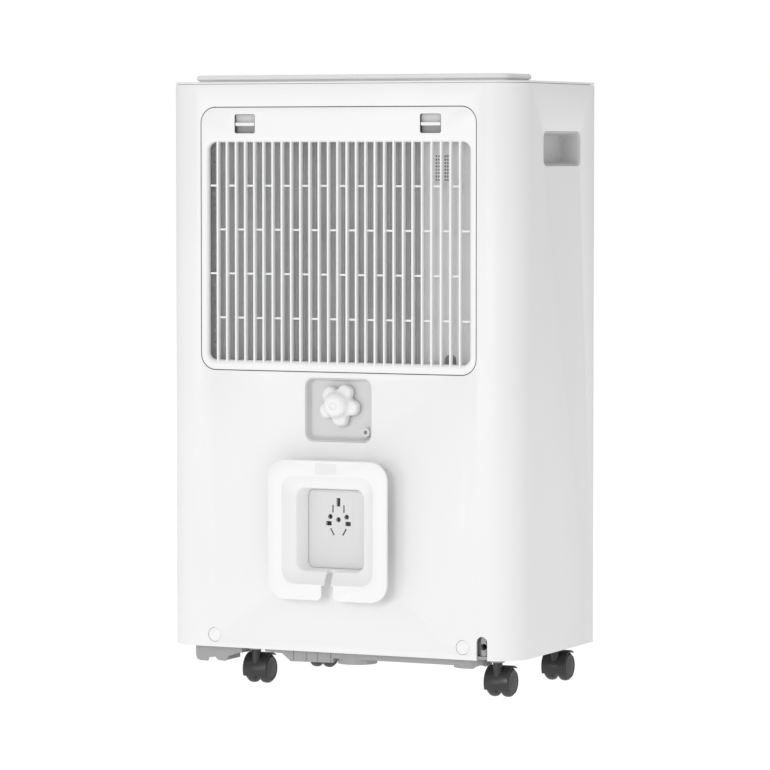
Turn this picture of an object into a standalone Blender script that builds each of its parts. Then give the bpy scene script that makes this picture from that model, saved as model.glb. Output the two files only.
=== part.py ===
"""Portable dehumidifier on castors: casing, intake grille, cord reel, refrigeration unit, fan and tank.

Every number is in millimetres and MM turns it into Blender's metres. The frame's origin is on the floor
under the middle of the bounding box. +Y points out of the rear (air intake) face, -Y out of the front,
where the tank pulls out, and +Z is up.
"""

import math

import bmesh
import bpy
from mathutils import Matrix, Vector

MM = 0.001

# Casing
HALF_WIDTH = 204.0
REAR_Y = 108.0
SIDE_EDGE_Y = -101.6
FRONT_Y = -132.0
SHELL_BOTTOM = 40.0
SEAM_Z = 636.0
TOP_Z = 646.0
WALL = 2.5
REAR_CORNER = 38.0
FRONT_CORNER = 32.0
FRONT_HALF_WIDTH = 199.0
GAP = 0.3
REAR_INSIDE = REAR_Y - WALL
DECK_Z = 638.5

# Intake grille
PANEL_HALF = 159.0
PANEL_LOW, PANEL_HIGH = 335.0, 611.8
PANEL_CORNER = 16.5
PANEL_GAP = 0.5
GRILLE_HALF = 151.0
GRILLE_LOW, GRILLE_HIGH = 345.5, 575.0
SLAT_GAPS = 28
SLAT_WIDTH = 2.3
SLAT_FRONT, SLAT_BACK = 107.3, 102.0
BRIDGE_ROWS = (528.4, 482.1, 435.6, 389.0)
BRIDGE_HEIGHT = 2.2
PANEL_PIVOT = (0.0, 107.4, 336.6)
LATCH_X = 107.4
LATCH_WINDOW = (23.4, 584.7, 604.3)

# Drain pocket and its star knob
POCKET = (76.9, 66.6, 295.25)
DRAIN_X, DRAIN_Z = -1.7, 300.9
KNOB_LOBES = 5
KNOB_BACK = 101.0
KNOB_FIRST_LOBE = 61.0

# Cord reel with its plug park
REEL_Z = 170.5
REEL_SIZE = (138.0, 147.0)
REEL_FACE = 132.0
REEL_PLATE = 3.0
REEL_Y_FOOT = REAR_Y + GAP
PARK_SIZE = (65.3, 82.3)
SOCKET_X = -1.9

# Handles in the sides
HANDLE_Y, HANDLE_Z = -13.35, 568.25
HANDLE_LENGTH, HANDLE_HEIGHT = 100.0, 35.5

# Castors
CASTOR_X = (105.0, -175.0)
CASTOR_Y = (87.0, -66.0)
CASTOR_TRAIL = 11.0
WHEEL_RADIUS = 15.5
HOOD_RADIUS = 17.3
HOOD_HALF = 13.8

# Water tank
TANK_HALF, TANK_BACK, TANK_FRONT = 150.0, -15.0, -122.0
TANK_LOW, TANK_HIGH = 54.0, 250.0
FASCIA_HALF, FASCIA_LOW, FASCIA_HIGH = 164.3, 46.7, 263.3

# Refrigeration unit and fan
COIL_LEFT, COIL_RIGHT = -92.4, 161.0
SENSOR_EDGE = -94.0
COIL_LOW, COIL_HIGH = 338.0, 590.0
FAN_X, FAN_Z = 26.0, 470.0
FAN_RADIUS = 90.0
FAN_BLADES = 16
COMPRESSOR_X, COMPRESSOR_Y = 92.0, 47.0

# Air outlet and controls on top
OUTLET = (182.0, 9.0, 81.0)
OUTLET_HOLE = (171.5, 18.0, 73.0)
FLAP_PIVOT = (0.0, 71.4, 643.6)
BUTTON_X = (-84.0, -60.0, 60.0, 84.0, 0.0)
BUTTON_Y = (-58.0, -58.0, -58.0, -58.0, -80.0)


# ---------------------------------------------------------------- shapes


def arc(centre, radius, start, end, steps):
    """Points on an arc, both ends included, with its angles in degrees."""
    angles = [math.radians(start + (end - start) * i / steps) for i in range(steps + 1)]
    x, y = centre
    return [(x + radius * math.cos(a), y + radius * math.sin(a)) for a in angles]


def circle(centre, radius, steps):
    return arc(centre, radius, 0.0, 360.0 - 360.0 / steps, steps - 1)


def rectangle(low, high):
    return [(low[0], low[1]), (high[0], low[1]), (high[0], high[1]), (low[0], high[1])]


def rounded(centre, width, height, radius, steps=4):
    """Rectangle with round corners, anticlockwise."""
    right, top = centre[0] + width / 2 - radius, centre[1] + height / 2 - radius
    left, bottom = centre[0] - width / 2 + radius, centre[1] - height / 2 + radius
    corners = ((right, top), (left, top), (left, bottom), (right, bottom))
    turns = [90.0 * i for i in range(4)]
    return [p for c, turn in zip(corners, turns) for p in arc(c, radius, turn, turn + 90.0, steps)]


def placed(point, level, axis):
    """A point of an outline at a level along the axis that the outline is square to."""
    a, b = point
    return {"X": (level, a, b), "Y": (a, level, b), "Z": (a, b, level)}[axis]


def extrude(outline, low, high, axis):
    """Closed prism of an outline: XY along Z, XZ along Y or YZ along X."""
    return loft([[placed(p, level, axis) for p in outline] for level in (low, high)])


def box(x, y, z):
    return extrude(rectangle((x[0], y[0]), (x[1], y[1])), z[0], z[1], "Z")


def loft(rings, round_again=False):
    """Skin over rings of as many points each, with end caps or, going round again, without."""
    count = len(rings[0])
    points = [p for ring in rings for p in ring]
    faces = []
    for i in range(len(rings) if round_again else len(rings) - 1):
        here, there = i * count, (i + 1) % len(rings) * count
        for j in range(count):
            k = (j + 1) % count
            faces.append((here + j, here + k, there + k, there + j))
    if not round_again:
        faces.append(tuple(range(count)))
        faces.append(tuple(range((len(rings) - 1) * count, len(rings) * count)))
    return points, faces


def section(level, width, height, radius, centre=(0.0, REEL_Z), axis="Y", steps=4):
    """One rounded ring of a loft."""
    return [placed(p, level, axis) for p in rounded(centre, width, height, radius, steps)]


def turned(profile, centre, axis, steps, round_again=False):
    """Solid of revolution: the profile's (radius, level) pairs round an axis through the centre."""
    rings = []
    for radius, level in profile:
        rings.append([placed(p, level, axis) for p in circle(centre, radius, steps)])
    return loft(rings, round_again)


def cylinder(radius, centre, low, high, axis, steps=16):
    return turned([(radius, low), (radius, high)], centre, axis, steps)


def mesh_from(name, shapes):
    """Mesh of one or more shapes, its faces pointing out and its round stretches smooth."""
    bm = bmesh.new()
    for points, faces in shapes:
        vertices = [bm.verts.new(Vector(p) * MM) for p in points]
        for face in faces:
            bm.faces.new([vertices[i] for i in face])
    bmesh.ops.recalc_face_normals(bm, faces=bm.faces)
    mesh = bpy.data.meshes.new(name)
    bm.to_mesh(mesh)
    bm.free()
    mesh.shade_smooth()
    mesh.set_sharp_from_angle(angle=math.radians(32))
    return mesh


def helper(name, shape, collection):
    """Hidden solid that a Boolean joins or cuts with."""
    obj = bpy.data.objects.new(name, mesh_from(name, [shape]))
    obj.hide_render = True
    obj.display_type = "WIRE"
    collection.objects.link(obj)


def boolean(obj, operation, shapes):
    label = f"{obj.name}_{operation.lower()}"
    collection = bpy.data.collections.new(label)
    bpy.context.scene.collection.children.link(collection)
    for i, shape in enumerate(shapes):
        helper(f"{label}_{i}", shape, collection)
    modifier = obj.modifiers.new(label, "BOOLEAN")
    modifier.operation = operation
    modifier.operand_type = "COLLECTION"
    modifier.collection = collection
    modifier.solver = "EXACT"


def piece(name, material, base, joined=(), cut=(), rejoined=(), origin=(0.0, 0.0, 0.0)):
    """One named sub-part: a base shape, what is joined to it, cut from it, and joined after the cuts."""
    mesh = mesh_from(name, [base])
    mesh.transform(Matrix.Translation(Vector(origin) * -MM))
    obj = bpy.data.objects.new(name, mesh)
    obj.location = Vector(origin) * MM
    obj.data.materials.append(material)
    bpy.context.scene.collection.objects.link(obj)
    for operation, shapes in (("UNION", joined), ("DIFFERENCE", cut), ("UNION", rejoined)):
        if shapes:
            boolean(obj, operation, shapes)
    return obj


def pipe(name, material, points, radius, resolution=2):
    """Round pipe along straight runs, with its ends filled."""
    curve = bpy.data.curves.new(name, "CURVE")
    curve.dimensions = "3D"
    curve.bevel_depth = radius * MM
    curve.bevel_resolution = resolution
    curve.use_fill_caps = True
    spline = curve.splines.new("POLY")
    spline.points.add(len(points) - 1)
    for i, point in enumerate(points):
        spline.points[i].co = (*(Vector(point) * MM), 1.0)
    curve.materials.append(material)
    obj = bpy.data.objects.new(name, curve)
    bpy.context.scene.collection.objects.link(obj)


def rounded_route(points, radius, steps=3):
    """A route's corners turned into quadratic bends that start this far from each corner."""
    route = [Vector(points[0])]
    for before, corner, after in zip(points, points[1:], points[2:]):
        before, corner, after = Vector(before), Vector(corner), Vector(after)
        start = corner + (before - corner).normalized() * radius
        end = corner + (after - corner).normalized() * radius
        for i in range(steps + 1):
            t = i / steps
            route.append(start * (1 - t) ** 2 + corner * 2 * t * (1 - t) + end * t**2)
    route.append(Vector(points[-1]))
    return route


# ---------------------------------------------------------------- materials


def make_material(name, colour, roughness, metallic=0.0, alpha=1.0):
    material = bpy.data.materials.new(name)
    material.use_nodes = True
    shader = material.node_tree.nodes["Principled BSDF"]
    shader.inputs["Base Color"].default_value = (*colour, 1.0)
    shader.inputs["Roughness"].default_value = roughness
    shader.inputs["Metallic"].default_value = metallic
    shader.inputs["Alpha"].default_value = alpha
    return material


def make_materials():
    return {
        "white": make_material("white_plastic", (0.86, 0.86, 0.87), 0.42),
        "light_grey": make_material("light_grey_plastic", (0.66, 0.66, 0.67), 0.5),
        "grey": make_material("grey_plastic", (0.36, 0.36, 0.37), 0.55),
        "black": make_material("black_plastic", (0.02, 0.02, 0.021), 0.4),
        "tyre": make_material("castor_tyre", (0.03, 0.03, 0.031), 0.6),
        "screen": make_material("display_glass", (0.01, 0.01, 0.012), 0.1),
        "clear": make_material("clear_plastic", (0.55, 0.68, 0.75), 0.12, alpha=0.35),
        "net": make_material("filter_net", (0.4, 0.4, 0.41), 0.7),
        "fins": make_material("aluminium_fins", (0.6, 0.61, 0.62), 0.35, 1.0),
        "copper": make_material("copper_pipe", (0.72, 0.33, 0.2), 0.3, 1.0),
        "foam": make_material("pipe_insulation", (0.025, 0.025, 0.025), 0.9),
        "steel": make_material("black_painted_steel", (0.03, 0.03, 0.032), 0.45, 0.4),
        "galvanised": make_material("galvanised_steel", (0.55, 0.56, 0.57), 0.4, 0.9),
        "rubber": make_material("seal_rubber", (0.03, 0.03, 0.03), 0.8),
        "foam_white": make_material("float_foam", (0.8, 0.8, 0.78), 0.8),
    }


# ---------------------------------------------------------------- casing


def rear_outline(inset, front):
    """From the right side's front edge round the rear face to the left side's front edge."""
    radius = REAR_CORNER - inset
    x, y = HALF_WIDTH - REAR_CORNER, REAR_Y - REAR_CORNER
    right, left = arc((x, y), radius, 0.0, 90.0, 8), arc((-x, y), radius, 90.0, 180.0, 8)
    return [(HALF_WIDTH - inset, front), *right, *left, (-HALF_WIDTH + inset, front)]


def front_outline(inset, back):
    """From the left side's back edge round the front to the right side's back edge."""
    radius = FRONT_CORNER - inset
    x, y = FRONT_HALF_WIDTH - FRONT_CORNER, FRONT_Y + FRONT_CORNER
    left, right = arc((-x, y), radius, 180.0, 270.0, 6), arc((x, y), radius, 270.0, 360.0, 6)
    return [(-FRONT_HALF_WIDTH + inset, back), *left, *right, (FRONT_HALF_WIDTH - inset, back)]


def inside_outline(clearance):
    """Outline of a plate or rim that fits inside the shell and the front cover."""
    return rear_outline(WALL + clearance, -91.4) + front_outline(WALL + clearance, -91.4)


def handle_ring(side, level, shrink, radius):
    """Rounded ring across a side handle's recess, this far in from the casing's side."""
    outline = rounded((HANDLE_Y, HANDLE_Z), HANDLE_LENGTH - shrink, HANDLE_HEIGHT - shrink, radius)
    return [placed(p, side * (HALF_WIDTH - level), "X") for p in outline]


def make_rear_shell(materials):
    outline = rear_outline(0.0, SIDE_EDGE_Y) + rear_outline(WALL, SIDE_EDGE_Y)[::-1]
    panel_z = (PANEL_LOW + PANEL_HIGH) / 2
    panel_size = (PANEL_HALF * 2, PANEL_HIGH - PANEL_LOW)
    well = rounded((0.0, panel_z), panel_size[0] + 7.0, panel_size[1] + 7.0, PANEL_CORNER + 3.5)
    hole_size = (panel_size[0] + PANEL_GAP * 2, panel_size[1] + PANEL_GAP * 2)
    hole = rounded((0.0, panel_z), hole_size[0], hole_size[1], PANEL_CORNER + PANEL_GAP)
    ledge = rounded((0.0, panel_z), panel_size[0] - 10.0, panel_size[1] - 10.0, PANEL_CORNER - 5.0)
    pocket = rounded((DRAIN_X, POCKET[2]), POCKET[0], POCKET[1], 8.6)
    park = rounded((0.0, REEL_Z), PARK_SIZE[0] + 0.7, PARK_SIZE[1] + 0.7, 7.2)
    notch = [(-172.0, 30.0), (-160.0, 30.0), *arc((-166.0, 59.0), 6.0, 0.0, 180.0, 6)]
    cuts = [
        extrude(hole, 99.0, REAR_Y + 2.0, "Y"),
        extrude(ledge, 90.0, 100.0, "Y"),
        extrude(pocket, 95.0, REAR_Y + 2.0, "Y"),
        extrude(park, 95.0, REAR_Y + 2.0, "Y"),
        extrude(notch, 95.0, REAR_Y + 2.0, "Y"),
    ]
    for side in (-1, 1):
        cuts.append(cylinder(7.7, (side * 144.3, 52.8), 95.0, REAR_Y + 2.0, "Y", 20))
        cuts.append(loft([handle_ring(side, -2.0, -0.6, 7.3), handle_ring(side, 8.0, -0.6, 7.3)]))
    piece(
        "rear_shell",
        materials["white"],
        extrude(outline, SHELL_BOTTOM, SEAM_Z, "Z"),
        joined=[extrude(well, 97.0, REAR_Y - 1.0, "Y")],
        cut=cuts,
    )


def make_front_cover(materials):
    back = -92.0
    outline = front_outline(0.0, back) + front_outline(WALL, back)[::-1]
    window = rounded((0.0, 155.0), 330.0, 218.0, 6.0, 3)
    piece(
        "front_cover",
        materials["white"],
        extrude(outline, SHELL_BOTTOM, SEAM_Z, "Z"),
        cut=[extrude(window, FRONT_Y - 5.0, FRONT_Y + 8.0, "Y")],
    )


def make_top_cover(materials):
    edge = rear_outline(0.0, SIDE_EDGE_Y) + front_outline(0.0, SIDE_EDGE_Y)
    upper = rear_outline(0.9, SIDE_EDGE_Y) + front_outline(0.9, SIDE_EDGE_Y)
    rings = [
        [placed(p, level, "Z") for p in outline]
        for outline, level in ((edge, SEAM_Z + 0.6), (edge, DECK_Z - 0.9), (upper, DECK_Z))
    ]
    rim = inside_outline(0.6)
    hollow = inside_outline(2.6)
    half, front, back = OUTLET
    collar = rounded((0.0, (front + back) / 2), half * 2 + 1.0, back - front + 1.0, 11.5)
    panel = rounded((0.0, -62.0), 208.0, 62.0, 8.0, 3)
    piece(
        "top_cover",
        materials["white"],
        loft(rings),
        joined=[extrude(rim, 631.0, SEAM_Z + 1.2, "Z")],
        cut=[
            extrude(hollow, 630.0, SEAM_Z + 0.4, "Z"),
            extrude(collar, 630.0, 645.0, "Z"),
            extrude(panel, 630.0, 645.0, "Z"),
        ],
    )


def skirt_outline():
    """Lower edge of the pan's rear skirt, left of the rear castor and right of it."""
    corner = arc((166.8, 28.7), 6.0, -90.0, 0.0, 3)[::-1]
    left = [(172.8, 41.5), *corner, (159.0, 22.7), (158.0, 26.2), (149.5, 27.3), (146.0, 24.0)]
    left += [(138.0, 23.4), (133.4, 29.6), (118.0, 31.0), (118.0, 41.5)]
    middle = [(92.0, 41.5), (90.0, 36.0), (70.0, 35.0), (60.0, 27.0), (10.0, 28.0), (10.0, 41.5)]
    return left, middle


def swivel_room():
    """Profile of the space that a castor's hood sweeps as it swivels, as (radius, height) pairs."""
    profile = [(32.0, 15.0)]
    for height in (22.0, 28.0, 31.0, HOOD_RADIUS + WHEEL_RADIUS):
        chord = math.sqrt(HOOD_RADIUS**2 - (height - WHEEL_RADIUS) ** 2)
        profile.append((math.hypot(CASTOR_TRAIL + chord, HOOD_HALF) + 0.6, height + 0.4))
    return profile


def make_base_pan(materials):
    """Floor pan with its rear skirt, ribs, screw bosses, castor sockets and the rails the tank slides on."""
    left, middle = skirt_outline()
    joined = [
        extrude(left, 93.5, 96.0, "Y"),
        extrude(middle, 93.5, 96.0, "Y"),
        box((-140.0, 20.0), (92.5, 96.0), (32.5, 41.5)),
        cylinder(21.0, (-9.5, 77.0), 27.0, 41.5, "Z", 20),
        cylinder(20.0, (-143.0, 78.0), 29.7, 41.5, "Z", 20),
        box((170.3, 172.8), (60.0, 94.0), (24.0, 41.5)),
        box((138.0, 140.5), (60.0, 94.0), (24.0, 41.5)),
    ]
    joined += [box((x - 1.0, x + 1.0), (60.0, 97.2), (28.0, 41.5)) for x in (57.8, 42.8, 29.5, 14.0)]
    joined += [box((x - 1.0, x + 1.0), (60.0, 95.0), (31.5, 41.5)) for x in (129.0, 124.0, 119.0)]
    joined += [box((x - 3.0, x + 3.0), (-120.0, -18.0), (43.5, 53.6)) for x in (-130.0, 130.0)]
    cuts = [
        cylinder(14.0, (-9.5, 77.0), 20.0, 38.0, "Z", 12),
        cylinder(13.0, (-143.0, 78.0), 20.0, 38.0, "Z", 12),
    ]
    for x in CASTOR_X:
        for y in CASTOR_Y:
            joined.append(cylinder(7.5, (x, y), 37.0, 41.5, "Z", 12))
            joined.append(cylinder(7.5, (x, y), 43.5, 51.0, "Z", 12))
            cuts.append(cylinder(4.4, (x, y), 30.0, 60.0, "Z", 12))
            cuts.append(turned(swivel_room(), (x, y), "Z", 20))
    floor = extrude(inside_outline(0.6), 41.0, 44.0, "Z")
    piece("base_pan", materials["grey"], floor, joined=joined, cut=cuts)


def make_side_fittings(materials):
    """Finger recesses in the sides and the plugs over the two lower screws."""
    for side, word in ((1, "left"), (-1, "right")):
        rings = [
            handle_ring(side, 22.0, 7.0, 5.0),
            handle_ring(side, 1.4, 2.8, 6.2),
            handle_ring(side, 0.2, 1.2, 7.0),
            handle_ring(side, 0.2, 0.0, 7.0),
            handle_ring(side, WALL + 0.3, 0.0, 7.0),
            handle_ring(side, WALL + 0.3, -6.0, 9.0),
            handle_ring(side, WALL + 2.3, -6.0, 9.0),
            handle_ring(side, WALL + 2.3, 0.0, 7.0),
            handle_ring(side, 24.0, 3.0, 6.0),
        ]
        piece(f"handle_cup_{word}", materials["white"], loft(rings))
        profile = [(4.5, 101.0), (4.5, 105.0), (7.4, 105.9), (7.4, 107.2), (6.6, 107.8)]
        piece(f"screw_cap_{word}", materials["white"], turned(profile, (side * 144.3, 52.8), "Y", 20))


# ---------------------------------------------------------------- intake grille


def extrude_ring(outer, inner):
    """Rim behind the panel, between two outlines of as many points each."""
    levels = ((outer, 101.4), (outer, REAR_INSIDE + 0.5), (inner, REAR_INSIDE + 0.5), (inner, 101.4))
    return loft([[placed(p, level, "Y") for p in outline] for outline, level in levels], round_again=True)


def make_intake_grille(materials):
    centre = (0.0, (PANEL_LOW + PANEL_HIGH) / 2)
    height = PANEL_HIGH - PANEL_LOW
    plate = extrude(rounded(centre, PANEL_HALF * 2, height, PANEL_CORNER), REAR_INSIDE, REAR_Y, "Y")
    rim = rounded(centre, PANEL_HALF * 2 - 1.0, height - 1.0, PANEL_CORNER - 0.5)
    inner = rounded(centre, PANEL_HALF * 2 - 5.0, height - 5.0, PANEL_CORNER - 2.5)
    middle = ((GRILLE_LOW + GRILLE_HIGH) / 2, GRILLE_HIGH - GRILLE_LOW)
    rings = []
    lip = ((10.0, 0.0), (4.0, 0.0), (2.6, 0.7), (1.3, 1.7), (0.4, 3.1), (0.0, 4.2), (-1.0, 5.6))
    for depth, spread in lip:
        size = (GRILLE_HALF * 2 + spread * 2, middle[1] + spread * 2)
        rings.append(section(REAR_Y - depth, *size, 8.0 + spread, (0.0, middle[0]), steps=3))
    surround = rounded((0.0, middle[0]), GRILLE_HALF * 2 + 6.4, middle[1] + 6.4, 11.0, 3)
    cuts = [loft(rings)]
    for side in (-1, 1):
        window = rounded(
            (side * LATCH_X, (LATCH_WINDOW[1] + LATCH_WINDOW[2]) / 2),
            LATCH_WINDOW[0],
            LATCH_WINDOW[2] - LATCH_WINDOW[1],
            2.0,
            2,
        )
        cuts.append(extrude(window, 98.0, REAR_Y + 1.0, "Y"))
    pitch = GRILLE_HALF * 2 / SLAT_GAPS
    slats = []
    slat_height = (GRILLE_LOW - 2.9, GRILLE_HIGH + 2.9)
    half = SLAT_WIDTH / 2
    for i in range(1, SLAT_GAPS):
        x = GRILLE_HALF - i * pitch
        slats.append(box((x - half, x + half), (SLAT_BACK, SLAT_FRONT), slat_height))
    depth = (SLAT_BACK, SLAT_BACK + 1.2)
    half = pitch / 2 - SLAT_WIDTH / 2 + 0.6
    for row, z in enumerate(BRIDGE_ROWS):
        for i in range(row % 2, SLAT_GAPS, 2):
            x = GRILLE_HALF - (i + 0.5) * pitch
            slats.append(box((x - half, x + half), depth, (z, z + BRIDGE_HEIGHT)))
    piece(
        "intake_grille",
        materials["white"],
        plate,
        joined=[extrude_ring(rim, inner), extrude(surround, SLAT_BACK, REAR_INSIDE + 0.5, "Y")],
        cut=cuts,
        rejoined=slats,
        origin=PANEL_PIVOT,
    )


def make_air_filter(materials):
    """Thin net in a frame with two crossbars, clipped behind the grille."""
    centre, size = (0.0, 459.0), (312.0, 241.0)
    frame = extrude(rounded(centre, size[0], size[1], 10.0, 3), 99.4, 101.1, "Y")
    cuts = [box((x - 75.0, x + 75.0), (100.0, 102.0), (341.5, 576.5)) for x in (-78.0, 78.0)]
    piece("air_filter", materials["net"], frame, cut=cuts, origin=PANEL_PIVOT)


def make_latches(materials):
    """Sliding catches: a finger bar in each window, on a plate behind the panel."""
    for side, word in ((1, "left"), (-1, "right")):
        x = side * LATCH_X
        piece(
            f"latch_{word}",
            materials["white"],
            box((x - 14.0, x + 14.0), (102.2, 104.9), (591.8, 608.6)),
            joined=[box((x - 11.1, x + 11.1), (104.0, 107.5), (592.3, 595.9))],
            origin=(x, 103.5, 594.0),
        )


# ---------------------------------------------------------------- drain


def make_drain(materials):
    def ring(level, width, height, radius, z=POCKET[2]):
        return section(level, width, height, radius, centre=(DRAIN_X, z))

    wide, tall = POCKET[0] - 0.6, POCKET[1] - 0.6
    rings = [
        ring(98.0, wide - 5.0, tall - 6.2, 7.0, POCKET[2] + 1.2),
        ring(106.9, wide - 2.4, tall - 2.4, 7.0),
        ring(107.7, wide - 1.6, tall - 1.6, 7.2),
        ring(107.7, wide, tall, 8.0),
        ring(105.1, wide, tall, 8.0),
        ring(105.1, wide + 6.0, tall + 6.0, 11.0),
        ring(103.1, wide + 6.0, tall + 6.0, 11.0),
        ring(103.1, wide, tall, 8.0),
        ring(96.0, wide - 1.6, tall - 2.6, 8.0, POCKET[2] + 1.2),
    ]
    piece(
        "drain_pocket",
        materials["light_grey"],
        loft(rings),
        joined=[cylinder(5.0, (-31.8, 272.5), 97.0, 105.5, "Y", 14)],
        cut=[
            cylinder(8.6, (DRAIN_X, DRAIN_Z), 90.0, 102.0, "Y", 20),
            cylinder(2.0, (-31.8, 272.5), 99.5, 110.0, "Y", 8),
        ],
    )
    profile = [(8.0, 104.0), (8.0, 102.6), (7.2, 102.2), (7.2, 101.4), (8.0, 101.0), (8.0, 95.7)]
    profile += [(12.0, 95.7), (12.0, 93.6), (8.0, 93.6), (8.0, 75.0)]
    piece(
        "drain_nozzle",
        materials["grey"],
        turned(profile, (DRAIN_X, DRAIN_Z), "Y", 16),
        joined=[cylinder(7.0, (DRAIN_X, 84.0), DRAIN_Z, 315.6, "Z", 12)],
        cut=[
            cylinder(5.0, (DRAIN_X, DRAIN_Z), 84.0, 110.0, "Y", 10),
            cylinder(4.6, (DRAIN_X, 84.0), DRAIN_Z - 2.0, 320.0, "Z", 10),
        ],
    )
    seal = [(8.3, 104.3), (8.3, 106.3), (4.6, 106.3), (4.6, 104.3)]
    piece(
        "drain_seal",
        materials["rubber"],
        turned(seal, (DRAIN_X, DRAIN_Z), "Y", 16, round_again=True),
        origin=(DRAIN_X, 104.3, DRAIN_Z),
    )
    make_star_knob(materials)


def star(tip, valley, level):
    """One ring of the star knob: broad round lobes with narrower valleys."""
    steps = KNOB_LOBES * 6
    ring = []
    for i in range(steps):
        turn = 360.0 * i / steps
        wave = (1.0 + math.cos(math.radians(KNOB_LOBES * turn))) / 2.0
        radius = tip - (tip - valley) * (1.0 - wave) ** 2
        angle = math.radians(turn + KNOB_FIRST_LOBE)
        ring.append((DRAIN_X - radius * math.cos(angle), level, DRAIN_Z + radius * math.sin(angle)))
    return ring


def make_star_knob(materials):
    """Drain cap: hollow from behind, with grip lobes that fade into a dome with a dimple."""
    profile = [(0.0, 21.8, 15.6), (1.5, 23.0, 16.2), (7.0, 22.4, 15.9), (9.2, 20.6, 15.2)]
    profile += [(10.6, 16.8, 14.2), (12.6, 14.0, 13.4), (16.0, 12.6, 12.4), (19.2, 9.8, 9.8)]
    profile += [(21.0, 5.2, 5.2), (20.0, 4.0, 4.0)]
    rings = [star(tip, valley, KNOB_BACK + level) for level, tip, valley in profile]
    piece(
        "drain_cap",
        materials["white"],
        loft(rings),
        cut=[cylinder(8.7, (DRAIN_X, DRAIN_Z), KNOB_BACK - 2.0, 106.7, "Y", 20)],
        origin=(DRAIN_X, KNOB_BACK, DRAIN_Z),
    )


# ---------------------------------------------------------------- cord reel and inlet


def make_cord_reel(materials):
    """Hollow spool: a slotted flange, a funnel, and straight walls that the cord winds round."""
    wide, tall = REEL_SIZE
    back = REEL_FACE - REEL_PLATE
    rings = [
        section(back, wide, tall, 20.0, steps=5),
        section(REEL_FACE - 1.0, wide, tall, 20.0, steps=5),
        section(REEL_FACE, wide - 2.0, tall - 2.0, 19.0, steps=5),
        section(REEL_FACE, 106.0, 114.0, 14.5, steps=5),
        section(REEL_FACE - 1.0, 104.5, 112.5, 14.0, steps=5),
        section(124.5, 79.0, 88.0, 10.0, steps=5),
        section(REEL_Y_FOOT, PARK_SIZE[0] + 0.6, PARK_SIZE[1] + 0.6, 7.0, steps=5),
        section(REEL_Y_FOOT, PARK_SIZE[0] + 5.0, PARK_SIZE[1] + 5.0, 9.0, steps=5),
        section(122.5, 84.0, 93.0, 12.0, steps=5),
        section(back, 110.0, 118.0, 16.0, steps=5),
    ]
    low = REEL_Z - tall / 2
    mouth = [(-7.0, low + 16.0), (-7.0, low + 6.0), (-12.0, low - 2.0), (12.0, low - 2.0)]
    mouth += [(7.0, low + 6.0), (7.0, low + 16.0)]
    piece(
        "cord_reel",
        materials["white"],
        loft(rings, round_again=True),
        cut=[
            extrude(mouth, back - 2.0, REEL_FACE + 2.0, "Y"),
            box((-4.0, 4.0), (115.0, REEL_FACE + 2.0), (low + 10.0, low + 33.0)),
        ],
    )


def park_holes():
    """Openings of a socket that takes several plug standards, as outlines round its centre."""
    holes = [rectangle((side * 11.1 - 3.2, 174.0), (side * 11.1 + 3.2, 178.6)) for side in (-1, 1)]
    holes += [circle((side * 9.5, 183.4), 2.7, 8) for side in (-1, 1)]
    holes += [rectangle((side * 6.35 - 0.85, 187.8), (side * 6.35 + 0.85, 195.7)) for side in (-1, 1)]
    holes += [rectangle((-2.2, 194.2), (2.2, 203.2)), circle((0.0, 180.4), 2.7, 8)]
    for side in (-1, 1):
        slot = []
        for along, across in ((-4.1, -0.85), (4.1, -0.85), (4.1, 0.85), (-4.1, 0.85)):
            tilt = math.radians(90.0 + side * 30.0)
            x = side * 7.0 - along * math.cos(tilt) - across * math.sin(tilt)
            slot.append((x, 167.5 + along * math.sin(tilt) - across * math.cos(tilt)))
        holes.append(slot)
    return [[(x + SOCKET_X, z) for x, z in hole] for hole in holes]


def make_plug_park(materials):
    """Dummy socket in the reel's floor that the mains plug is parked in."""
    wide, tall = PARK_SIZE
    rings = [
        section(102.7, wide + 6.0, tall + 6.0, 9.0),
        section(105.2, wide + 6.0, tall + 6.0, 9.0),
        section(105.2, wide, tall, 6.8),
        section(REAR_Y, wide, tall, 6.8),
    ]
    piece(
        "plug_park",
        materials["light_grey"],
        loft(rings),
        cut=[extrude(hole, 100.0, REAR_Y + 1.0, "Y") for hole in park_holes()],
    )


def make_cord_gland(materials):
    """Clamp block behind the notch that the mains cord leaves through."""
    piece(
        "cord_gland",
        materials["grey"],
        box((-176.0, -156.0), (95.2, 98.4), (44.3, 72.0)),
        joined=[cylinder(5.2, (-166.0, 98.8), 44.3, 66.0, "Z", 12)],
        cut=[cylinder(3.6, (-166.0, 54.0), 80.0, 110.0, "Y", 10)],
    )


# ---------------------------------------------------------------- refrigeration unit and fan


def return_bend(x, y, z, side):
    """U-bend of a coil's tube, standing out of its end plate."""
    rings = []
    for i in range(5):
        turn = math.radians(-90.0 + 45.0 * i)
        out, up = math.cos(turn), math.sin(turn)
        ring = []
        for a, b in circle((0.0, 0.0), 3.6, 6):
            ring.append((x + side * (8.0 + a) * out, y + b, z + (8.0 + a) * up))
        rings.append(ring)
    return loft(rings)


def make_coil(name, material, low_y, high_y):
    """Finned block between two end plates, with return bends at its sensor end."""
    plates = [
        box((x - 0.8, x + 0.8), (low_y - 2.0, high_y + 2.0), (COIL_LOW - 1.5, COIL_HIGH + 1.5))
        for x in (COIL_LEFT, COIL_RIGHT)
    ]
    middle = (low_y + high_y) / 2
    bends = [return_bend(COIL_LEFT + 0.2, middle, COIL_LOW + 30.0 + 48.0 * i, -1) for i in range(5)]
    block = box((COIL_LEFT, COIL_RIGHT), (low_y, high_y), (COIL_LOW, COIL_HIGH))
    piece(name, material, block, joined=plates + bends)


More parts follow.
